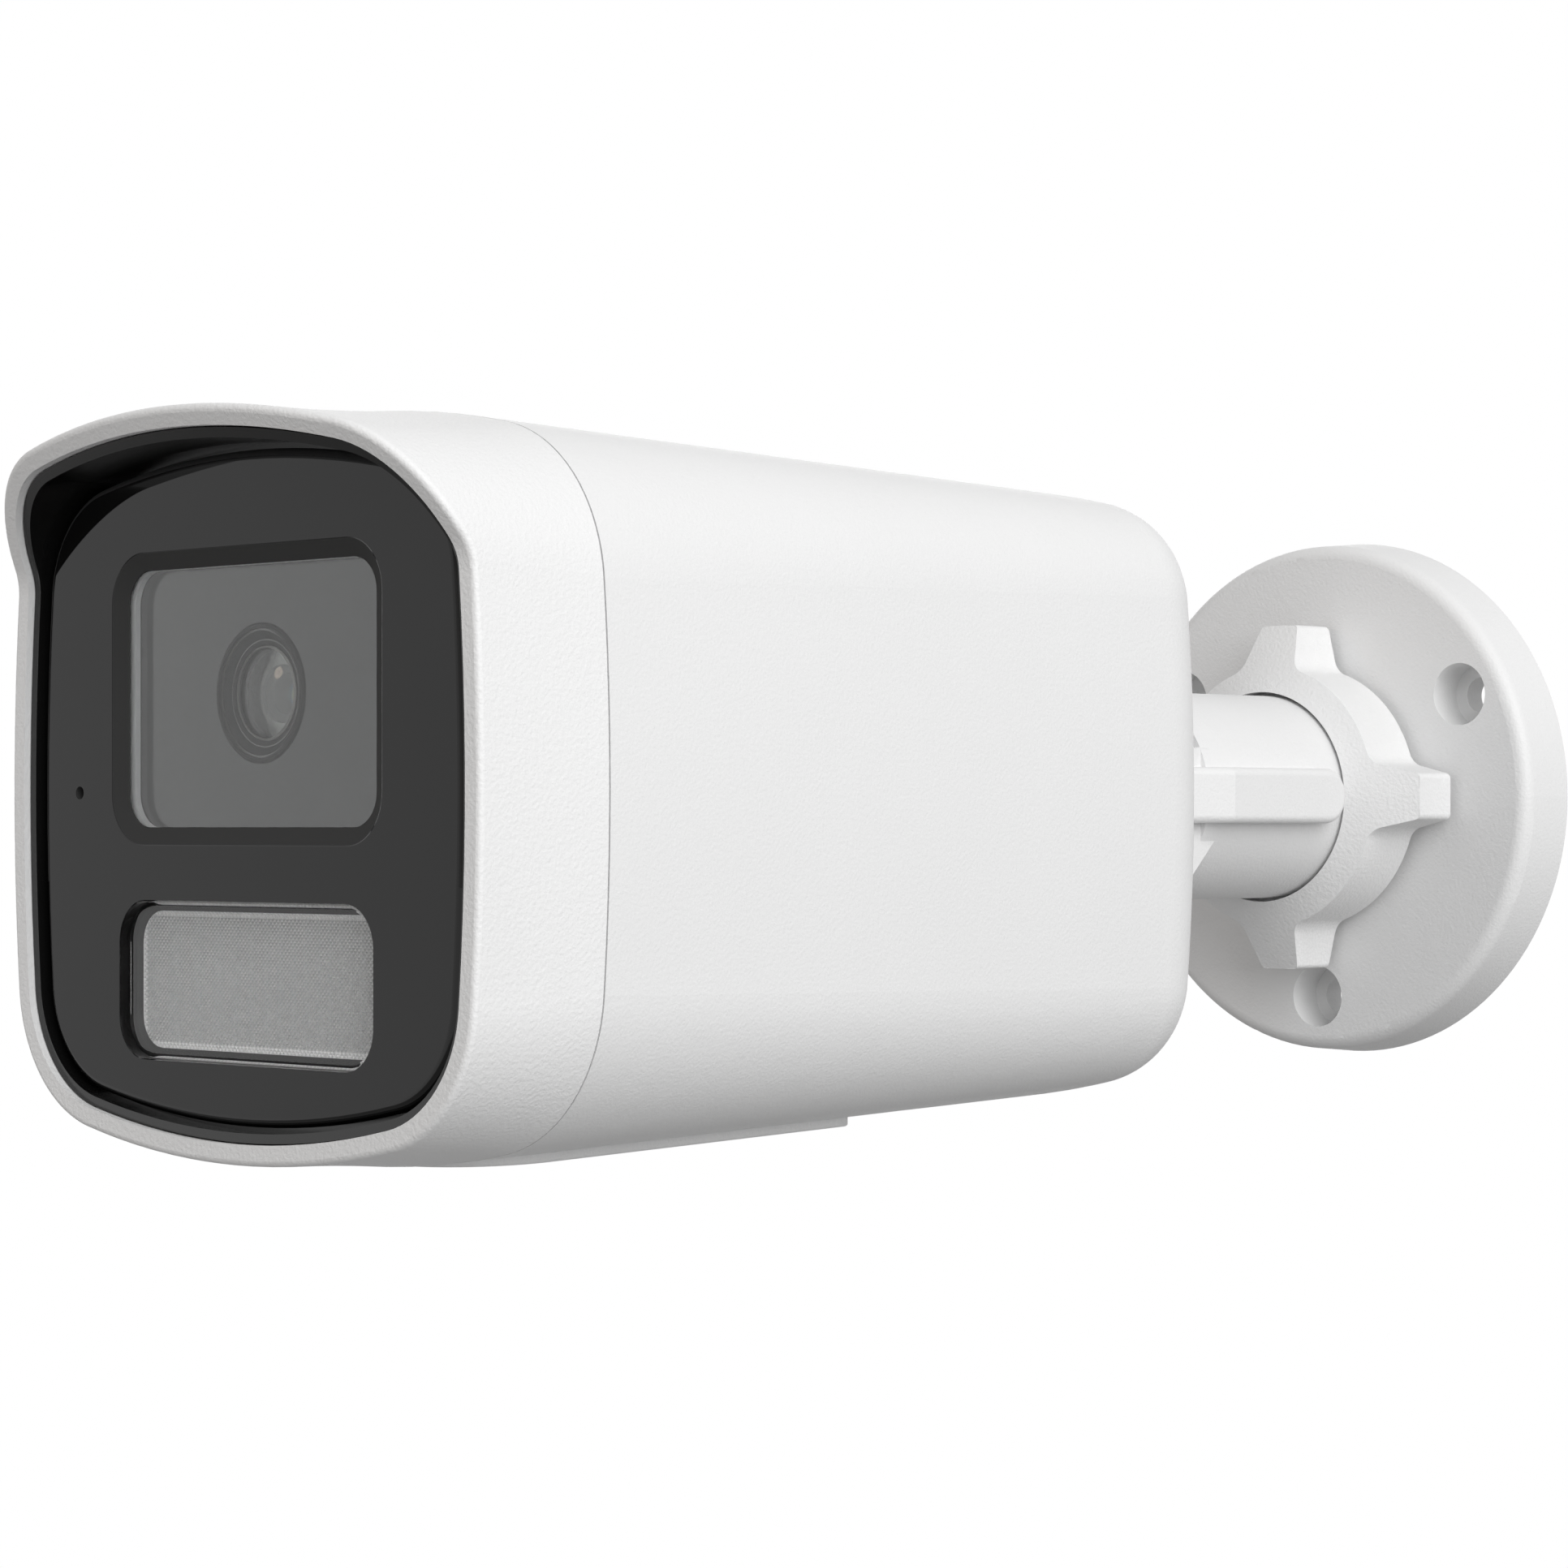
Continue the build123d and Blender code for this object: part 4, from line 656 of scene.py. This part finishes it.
class SECURITYCAM_OT_build_lens(Operator):
    """Builds the lens: a barrel that steps down to its domed glass, and the glass behind it."""

    bl_idname = "securitycam.build_lens"
    bl_label = "Build the lens"

    # The barrel behind its front ring.
    bore = 1.9 * MM
    thread = 6.2 * MM
    bell_depth = 4.0 * MM
    # Its front: (inset from the ring's edge, depth below the face), in mm.
    front_steps = (
        (0.0, 0.15),
        (0.15, 0.0),
        (0.45, 0.0),
        (0.50, 0.35),
        (0.72, 0.35),
        (0.80, 0.5),
        (1.52, 1.0),
        (1.57, 0.92),
        (1.70, 0.92),
    )
    # The cup round the glass: its floor's height over the seat, that floor's raised edge
    # and the gap beside the glass.
    cup_height = 2.4 * MM
    cup_edge = 0.02 * MM
    glass_gap = 0.05 * MM
    # Steps behind the glass: (radius, depth below the seat), in mm.
    seat_steps = ((4.2, 0.0), (2.7, 0.3), (1.9, 0.6))
    # The pale collar: (radius, height over the cup's floor), in mm. Its faces lie above its foot.
    collar = ((4.70, 0.30), (4.93, 0.15), (4.93, 0.02), (4.70, 0.12))
    collar_foot = 0.03 * MM
    # Radii, in mm, between which the barrel is satin instead of matte.
    satin_bands = ((6.47, 6.71), (5.48, 5.66), (2.75, 4.94))
    # Places of the satin and of the collar's material in the piece's list.
    satin_index, collar_index = 1, 2

    # The front glass and the two elements in the bore.
    front_crown = 1.1 * MM
    back_inset = 1.4 * MM
    back_crown = 0.2 * MM
    front_tint = (0.93, 0.95, 0.92, 1)
    front_index = 1.38
    inner_depths = (0.8 * MM, 4.2 * MM)
    inner_crown = 1.1 * MM
    inner_thickness = 1.6 * MM
    inner_tint = (0.75, 0.9, 0.7, 1)
    inner_index = 1.7
    inner_coats = 2.3

    def execute(self, context):
        front = context.scene.camera_looks.front
        low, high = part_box("lens_barrel")
        axis_height = (low.z + high.z) / 2
        face = -low.y
        back = -high.y
        ring = (high.x - low.x) / 2
        place = Matrix.Translation((0, 0, axis_height)) @ OUTWARD
        glass_low, glass_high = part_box("lens_front_element")
        glass_radius = (glass_high.x - glass_low.x) / 2
        seat = -glass_high.y
        self.build_barrel(front, place, ring, face, back, glass_radius, seat)
        self.build_elements(front, place, -glass_low.y, seat, glass_radius)
        return {"FINISHED"}

    def build_barrel(self, front, place, ring, face, back, glass_radius, seat):
        """Matte black barrel with thin satin rings, which steps down to the glass and the bore."""
        bell = face - self.bell_depth
        cup_floor = seat + self.cup_height
        holder = glass_radius + self.glass_gap
        profile = [(self.bore, back), (self.thread, back), (self.thread, bell), (ring, bell)]
        profile += [(ring - inset * MM, face - depth * MM) for inset, depth in self.front_steps]
        profile += [(holder, cup_floor + self.cup_edge), (holder, seat)]
        for radius, depth in self.seat_steps:
            step = seat - depth * MM
            profile += [(profile[-1][0], step), (radius * MM, step)]
        bm = bmesh.new()
        turned_piece(bm, profile)
        turned_piece(bm, [(radius * MM, cup_floor + rise * MM) for radius, rise in self.collar])
        bmesh.ops.recalc_face_normals(bm, faces=bm.faces)
        for part in bm.faces:
            spot = part.calc_center_median()
            away = spot.xy.length
            if any(inner * MM < away < outer * MM for inner, outer in self.satin_bands):
                on_collar = spot.z > cup_floor + self.collar_foot and away < holder
                part.material_index = self.collar_index if on_collar else self.satin_index
        bmesh.ops.transform(bm, matrix=place, verts=bm.verts)
        matte = grained_material(
            "matte barrel",
            front.lining,
            drift=0.3,
            cell=0.3 * MM,
            roughness=(0.5, 0.6),
            depth=0.001 * MM,
            Specular_IOR_Level=0.1,
        )
        satin = grained_material(
            "satin rings",
            front.ring,
            drift=0.3,
            cell=0.3 * MM,
            roughness=(0.12, 0.2),
            depth=0.001 * MM,
            IOR=1.55,
        )
        pale = grained_material(
            "glass collar",
            front.collar,
            drift=0.2,
            cell=0.3 * MM,
            roughness=(0.3, 0.4),
            depth=0.001 * MM,
        )
        body = finished_object("lens_body", bm, matte, "camera")
        body.data.materials.append(satin)
        body.data.materials.append(pale)
        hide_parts("lens_barrel")

    def build_elements(self, front, place, crown_reach, seat, radius):
        """Domed front glass and two smaller coated elements in the bore."""
        rim = crown_reach - self.front_crown
        profile = dome(radius, rim, crown_reach - rim) + [(radius, seat)]
        profile += dome(radius - self.back_inset, seat, self.back_crown)[::-1]
        bm = bmesh.new()
        turned_piece(bm, profile)
        bmesh.ops.transform(bm, matrix=place, verts=bm.verts)
        pale = clear_material("front element", self.front_tint, self.front_index)
        glass = finished_object("front_glass", bm, pale, "camera")
        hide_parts("lens_front_element")
        bm = bmesh.new()
        for depth in self.inner_depths:
            top = seat - depth
            foot = top - self.inner_thickness
            curve = dome(self.bore, top - self.inner_crown, self.inner_crown)
            turned_piece(bm, curve + [(self.bore, foot), (0, foot)])
        bmesh.ops.transform(bm, matrix=place, verts=bm.verts)
        film = self.inner_coats * front.coating
        tinted = clear_material("inner elements", self.inner_tint, self.inner_index, film=film)
        glass = finished_object("inner_glass", bm, tinted, "camera")
        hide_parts("lens_rear_elements")


def rounded_rectangle(half_width, half_height, corner):
    """Corner points of a rectangle with rounded corners, anticlockwise."""
    points = []
    for quarter, (side, rise) in enumerate(((1, 1), (-1, 1), (-1, -1), (1, -1))):
        middle = Vector((side * (half_width - corner), rise * (half_height - corner), 0))
        for step in range(CORNER_STEPS + 1):
            turn = math.radians(90 * (quarter + step / CORNER_STEPS))
            points.append(middle + corner * Vector((math.cos(turn), math.sin(turn), 0)))
    return points


def outline_face(bm, outline, reach):
    """One flat face with the outline's corners at a reach."""
    return bm.faces.new([bm.verts.new((point.x, point.y, reach)) for point in outline])


def parts_of_kind(geometry, kind):
    """The vertices or faces among what a bmesh operator gives back."""
    return [part for part in geometry if isinstance(part, kind)]


class SECURITYCAM_OT_build_lamp_cover(Operator):
    """Builds the lamps' clear cover with a field of small prisms on its inside."""

    bl_idname = "securitycam.build_lamp_cover"
    bl_label = "Build the lamp cover"

    plate_tint = grey(0.97)
    # Places of the other materials in the piece's list, and the two greys of the prisms: painted
    # light on the facets facing up, painted shade on the others.
    lit_index, border_index, shaded_index = 1, 2, 3
    painted_lit_tone = 1.0
    painted_shade_tone = 0.55
    prism_turn = math.radians(45)
    # Gap between the flange and the plate.
    flange_gap = 0.05 * MM

    def execute(self, context):
        cover = context.scene.camera_looks.lamp_cover
        low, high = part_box("light_lens")
        middle = (low + high) / 2
        half_width = (high.x - low.x) / 2
        half_height = (high.z - low.z) / 2
        plate_width = half_width - cover.flange
        plate_height = half_height - cover.flange
        bm = bmesh.new()
        self.build_plate(bm, cover, plate_width, plate_height, -high.y, -low.y)
        self.build_flange(bm, cover, half_width, half_height, -high.y)
        place = Matrix.Translation((middle.x, 0, middle.z)) @ OUTWARD
        bmesh.ops.transform(bm, matrix=place, verts=bm.verts)
        clear = clear_material("prismatic cover", self.plate_tint, cover.index)
        piece = finished_object("lamp_cover", bm, clear, "camera")
        border = grained_material(
            "black border",
            cover.border_black,
            drift=0.3,
            cell=2.0 * MM,
            roughness=(0.3, 0.4),
            depth=0.0002 * MM,
            Specular_IOR_Level=0.1,
        )
        piece.data.materials.append(self.prisms(cover, "painted lit prisms", self.painted_lit_tone))
        piece.data.materials.append(border)
        piece.data.materials.append(self.prisms(cover, "painted shade prisms", self.painted_shade_tone))
        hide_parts("light_lens")
        return {"FINISHED"}

    def prisms(self, cover, name, tone):
        """Frosted plastic of the prisms' facets in one grey; the paler copy is painted light and
        the darker copy painted shade.
        """
        return clear_material(
            name, grey(tone), cover.index, roughness=cover.frost, clarity=cover.clarity
        )

    def build_plate(self, bm, cover, half_width, half_height, back, front):
        """Bevelled plate with a plain black border round the field of prisms on its inside."""
        field_width = half_width - cover.border
        field_height = half_height - cover.border
        outer = rounded_rectangle(half_width, half_height, cover.corner)
        inner = rounded_rectangle(field_width, field_height, cover.corner - cover.border)
        floor = back + cover.prism_depth
        self.build_prisms(bm, cover, inner, field_width, field_height, floor)
        plate = outline_face(bm, outer, front)
        walls = bmesh.ops.extrude_edge_only(bm, edges=plate.edges[:])["geom"]
        lowered = set(parts_of_kind(walls, bmesh.types.BMVert))
        for vert in lowered:
            vert.co.z = floor
        sides = parts_of_kind(walls, bmesh.types.BMFace)
        foot = [edge for edge in bm.edges if lowered.issuperset(edge.verts)]
        guide = outline_face(bm, inner, floor)
        rim = guide.edges[:]
        bmesh.ops.delete(bm, geom=[guide], context="FACES_ONLY")
        border = bmesh.ops.bridge_loops(bm, edges=foot + rim)["faces"]
        for face in border:
            face.material_index = self.border_index
        bmesh.ops.recalc_face_normals(bm, faces=[plate] + sides + border)
        bmesh.ops.bevel(
            bm,
            geom=plate.edges[:],
            offset=cover.bevel,
            offset_type="OFFSET",
            segments=BEVEL_STEPS,
            profile=0.5,
            affect="EDGES",
            material=-1,
        )

    def build_prisms(self, bm, cover, outline, half_width, half_height, floor):
        """Sheet of small pyramids that stand on their corners, with their tips to the inside."""
        count = math.ceil(2 * (half_width + half_height) / cover.prism)
        turned = Matrix.Rotation(self.prism_turn, 4, "Z")
        bmesh.ops.create_grid(
            bm,
            x_segments=count,
            y_segments=count,
            size=count * cover.prism / 2,
            matrix=Matrix.Translation((0, 0, floor)) @ turned,
        )
        for point, after in zip(outline, outline[1:] + outline[:1]):
            edge = after - point
            bmesh.ops.bisect_plane(
                bm,
                geom=bm.verts[:] + bm.edges[:] + bm.faces[:],
                dist=CUT_DISTANCE,
                plane_co=point,
                plane_no=(edge.y, -edge.x, 0),
                clear_outer=True,
            )
        bmesh.ops.reverse_faces(bm, faces=bm.faces)
        poked = bmesh.ops.poke(bm, faces=bm.faces, offset=cover.prism_depth, center_mode="MEAN")
        for facet in poked["faces"]:
            facet.normal_update()
            spot = facet.calc_center_median()
            margin = min(half_width - abs(spot.x), half_height - abs(spot.y))
            # Facets facing up, and every facet near the field's edge, get the paler grey as
            # painted light and a painted highlight; the rest get the darker grey as painted shade.
            painted_lit = facet.normal.y > 0 or margin < cover.painted_highlight_rows
            facet.material_index = self.lit_index if painted_lit else self.shaded_index

    def build_flange(self, bm, cover, half_width, half_height, back):
        """Flat frame round the plate that sits behind the front panel."""
        outline = rounded_rectangle(half_width, half_height, cover.corner + cover.flange)
        sheet = outline_face(bm, outline, back)
        width = cover.flange - self.flange_gap
        band = bmesh.ops.inset_region(bm, faces=[sheet], thickness=width)["faces"]
        bmesh.ops.delete(bm, geom=[sheet], context="FACES")
        raised = bmesh.ops.extrude_face_region(bm, geom=band, use_keep_orig=True)["geom"]
        for vert in parts_of_kind(raised, bmesh.types.BMVert):
            vert.co.z = back + cover.flange_thickness


class SECURITYCAM_OT_finish_hardware(Operator):
    """Gives screws, washers, spacers, sheet metal and the reflector their metals."""

    bl_idname = "securitycam.finish_hardware"
    bl_label = "Finish the metal hardware"

    # (slot, name, colour, smoothest, roughest)
    finishes = (
        ("steel_hardware", "plated steel", (0.58, 0.58, 0.6, 1), 0.2, 0.35),
        ("plain_aluminium", "plain aluminium", (0.72, 0.72, 0.73, 1), 0.3, 0.45),
        ("brass_spacers", "turned brass", (0.75, 0.56, 0.25, 1), 0.2, 0.35),
        ("silver_reflector", "metallised reflector", (0.86, 0.86, 0.86, 1), 0.35, 0.5),
    )
    stain = 0.15
    line_depth = 0.002 * MM

    def execute(self, context):
        for slot, name, colour, smooth, rough in self.finishes:
            values = {
                "First tone": colour,
                "Second tone": darker(colour, self.stain),
                "Smooth": smooth,
                "Rough": rough,
            }
            metal = grouped_material(name, metal_group(), values, self.line_depth, Metallic=1.0)
            dress(slot, metal)
        return {"FINISHED"}


class SECURITYCAM_OT_finish_electronics(Operator):
    """Gives boards their tracks, chips their moulded black and lamps their phosphor."""

    bl_idname = "securitycam.finish_electronics"
    bl_label = "Finish the electronics"

    def execute(self, context):
        boards = grouped_material("solder mask", board_group(), values={}, height=0.02 * MM)
        dress("circuit_board", boards)
        chips = grained_material(
            "moulded chips",
            (0.03, 0.03, 0.035, 1),
            drift=0.3,
            cell=0.25 * MM,
            roughness=(0.45, 0.6),
            depth=0.01 * MM,
        )
        dress("chip_black", chips)
        phosphor = grained_material(
            "lamp phosphor",
            (0.8, 0.6, 0.15, 1),
            drift=0.15,
            cell=0.2 * MM,
            roughness=(0.5, 0.7),
            depth=0.01 * MM,
        )
        dress("lamp_yellow", phosphor)
        return {"FINISHED"}


class SECURITYCAM_OT_finish_seals(Operator):
    """Gives seals, bushing and pads their dull rubber."""

    bl_idname = "securitycam.finish_seals"
    bl_label = "Finish the rubber"

    def execute(self, context):
        rubber = grained_material(
            "soft rubber",
            grey(0.02),
            drift=0.4,
            cell=0.35 * MM,
            roughness=(0.6, 0.8),
            depth=0.015 * MM,
        )
        dress("black_rubber", rubber)
        return {"FINISHED"}


def seen_directly(tree):
    """A mask that is 1 for what the viewpoint, a reflection or clear glass shows."""
    path = add_node(tree, "ShaderNodeLightPath", "How it is seen")
    mask = path.outputs["Is Camera Ray"]
    for kind in ("Is Glossy Ray", "Is Transmission Ray"):
        either = math_node(tree, "MAXIMUM", "Or so")
        tree.links.new(mask, either.inputs[0])
        tree.links.new(path.outputs[kind], either.inputs[1])
        mask = either.outputs[0]
    return mask


def floor_material(stage):
    """Pale paper that turns white far from the camera and is clear from below."""
    material, tree = node_tree_of("pale floor")
    link = tree.links.new
    bounce = add_node(tree, "ShaderNodeBsdfDiffuse", "Paper for the light", Color=stage.paper)
    pale = add_node(
        tree, "ShaderNodeBsdfDiffuse", "Paper for the viewpoint", Color=stage.pale_paper
    )
    path = add_node(tree, "ShaderNodeLightPath", "Seen from the viewpoint")
    paper = add_node(tree, "ShaderNodeMixShader", "Paper")
    link(path.outputs["Is Camera Ray"], paper.inputs["Fac"])
    link(bounce.outputs[0], paper.inputs[1])
    link(pale.outputs[0], paper.inputs[2])

    distance = add_node(tree, "ShaderNodeVectorMath", "Distance from the wall plate")
    distance.operation = "LENGTH"
    far = add_node(
        tree,
        "ShaderNodeMapRange",
        "Far from the camera",
        From_Min=stage.paper_radius,
        From_Max=stage.fade,
    )
    share = math_node(tree, "MULTIPLY", "White share")
    glow = add_node(tree, "ShaderNodeEmission", "Even white", Strength=1.0)
    mix = add_node(tree, "ShaderNodeMixShader", "Pale floor")
    link(place_on(tree), distance.inputs[0])
    link(distance.outputs["Value"], far.inputs["Value"])
    link(seen_directly(tree), share.inputs[0])
    link(far.outputs["Result"], share.inputs[1])
    link(share.outputs[0], mix.inputs["Fac"])
    link(paper.outputs[0], mix.inputs[1])
    link(glow.outputs[0], mix.inputs[2])

    under = add_node(tree, "ShaderNodeNewGeometry", "Seen from below")
    clear = add_node(tree, "ShaderNodeBsdfTransparent", "Clear from below")
    sides = add_node(tree, "ShaderNodeMixShader", "Both sides")
    end = tree.nodes.new("ShaderNodeOutputMaterial")
    link(under.outputs["Backfacing"], sides.inputs["Fac"])
    link(mix.outputs[0], sides.inputs[1])
    link(clear.outputs[0], sides.inputs[2])
    link(sides.outputs[0], end.inputs["Surface"])
    return material


def soft_lamp(name, place, size, power, colour=(1, 1, 1), shape="SQUARE"):
    """A flat lamp at one place, aimed at the camera's middle."""
    light = bpy.data.lights.new(name, "AREA")
    light.shape = shape
    light.size = size
    light.energy = power
    light.color = colour
    lamp = bpy.data.objects.new(name, light)
    lamp.location = place
    target = (CAD_BOX[0] + CAD_BOX[1]) / 2
    lamp.rotation_euler = (target - Vector(place)).to_track_quat("-Z", "Y").to_euler()
    bpy.context.scene.collection.objects.link(lamp)


class SECURITYCAM_OT_set_stage(Operator):
    """Lays the pale floor, hangs the soft lamps and sets the viewpoint."""

    bl_idname = "securitycam.set_stage"
    bl_label = "Set the stage"

    # Places and sizes of the lamps.
    side_place = (1.38, -0.6, 0.66)
    side_size = 1.4
    back_place = (-1.3, 0.9, -0.05)
    back_size = 1.2
    glint_place = (-0.44, -1.03, 0.32)
    glint_size = 0.18

    # The viewpoint looks level, and is turned this far round the camera.
    view_tilt = math.radians(90)
    view_turn = math.radians(45)
    sensor_width = 36

    def execute(self, context):
        scene = context.scene
        stage = scene.camera_looks.stage
        scene.view_settings.view_transform = "Standard"
        self.lay_floor(scene, stage)
        self.light_world(scene, stage)
        glint_colour = stage.glint_colour[:3]
        soft_lamp("side lamp", self.side_place, self.side_size, stage.key)
        soft_lamp("back lamp", self.back_place, self.back_size, stage.fill)
        soft_lamp(
            "lens glint", self.glint_place, self.glint_size, stage.glint, glint_colour, "DISK"
        )
        self.set_viewpoint(scene, stage)
        return {"FINISHED"}

    def lay_floor(self, scene, stage):
        """One large flat sheet under the camera."""
        bm = bmesh.new()
        place = Matrix.Translation((0, 0, -stage.floor_drop))
        half_side = stage.floor_size / 2
        bmesh.ops.create_grid(bm, x_segments=1, y_segments=1, size=half_side, matrix=place)
        data = bpy.data.meshes.new("floor")
        bm.to_mesh(data)
        bm.free()
        data.materials.append(floor_material(stage))
        floor = bpy.data.objects.new("floor", data)
        scene.collection.objects.link(floor)

    def light_world(self, scene, stage):
        """Even light from all round, behind which the backdrop shows white."""
        world = bpy.data.worlds.new("studio")
        world.use_nodes = True
        tree = world.node_tree
        tree.nodes.clear()
        white = grey(1)
        even = add_node(
            tree, "ShaderNodeBackground", "Even light", Color=white, Strength=stage.ambient
        )
        seen = add_node(tree, "ShaderNodeBackground", "White backdrop", Color=white, Strength=1.0)
        mix = add_node(tree, "ShaderNodeMixShader", "Studio")
        end = tree.nodes.new("ShaderNodeOutputWorld")
        tree.links.new(seen_directly(tree), mix.inputs["Fac"])
        tree.links.new(even.outputs[0], mix.inputs[1])
        tree.links.new(seen.outputs[0], mix.inputs[2])
        tree.links.new(mix.outputs[0], end.inputs["Surface"])
        scene.world = world

    def set_viewpoint(self, scene, stage):
        """The scene's camera, at the photograph's angle."""
        view = bpy.data.cameras.new("viewpoint")
        view.lens = stage.lens
        view.sensor_width = self.sensor_width
        view.shift_x, view.shift_y = stage.shift
        eye = bpy.data.objects.new("viewpoint", view)
        eye.location = stage.eye
        eye.rotation_euler = (self.view_tilt, 0, self.view_turn)
        scene.collection.objects.link(eye)
        scene.camera = eye


BUILD_ORDER = (
    SECURITYCAM_OT_coat_castings,
    SECURITYCAM_OT_finish_mouldings,
    SECURITYCAM_OT_finish_front,
    SECURITYCAM_OT_finish_optics,
    SECURITYCAM_OT_build_lens,
    SECURITYCAM_OT_build_lamp_cover,
    SECURITYCAM_OT_finish_hardware,
    SECURITYCAM_OT_finish_electronics,
    SECURITYCAM_OT_finish_seals,
    SECURITYCAM_OT_set_stage,
)


class VIEW3D_PT_security_camera(Panel):
    """Settings of the security camera's looks and the buttons that build them."""

    bl_label = "Security Camera"
    bl_idname = "VIEW3D_PT_security_camera"
    bl_space_type = "VIEW_3D"
    bl_region_type = "UI"
    bl_category = "Camera Looks"

    def draw(self, context):
        looks = context.scene.camera_looks
        for settings in (looks.shell, looks.front, looks.lamp_cover, looks.stage):
            box = self.layout.box()
            for name in settings.__annotations__:
                box.prop(settings, name)
        for operator in BUILD_ORDER:
            self.layout.operator(operator.bl_idname)


CLASSES = (
    ShellSettings,
    FrontSettings,
    LampCoverSettings,
    StageSettings,
    CameraLooks,
    *BUILD_ORDER,
    VIEW3D_PT_security_camera,
)


def register():
    for cls in CLASSES:
        bpy.utils.register_class(cls)
    bpy.types.Scene.camera_looks = PointerProperty(type=CameraLooks)


def unregister():
    del bpy.types.Scene.camera_looks
    for cls in reversed(CLASSES):
        bpy.utils.unregister_class(cls)


def main():
    register()
    bpy.ops.securitycam.coat_castings()
    bpy.ops.securitycam.finish_mouldings()
    bpy.ops.securitycam.finish_front()
    bpy.ops.securitycam.finish_optics()
    bpy.ops.securitycam.build_lens()
    bpy.ops.securitycam.build_lamp_cover()
    bpy.ops.securitycam.finish_hardware()
    bpy.ops.securitycam.finish_electronics()
    bpy.ops.securitycam.finish_seals()
    bpy.ops.securitycam.set_stage()


if __name__ == "__main__":
    main()
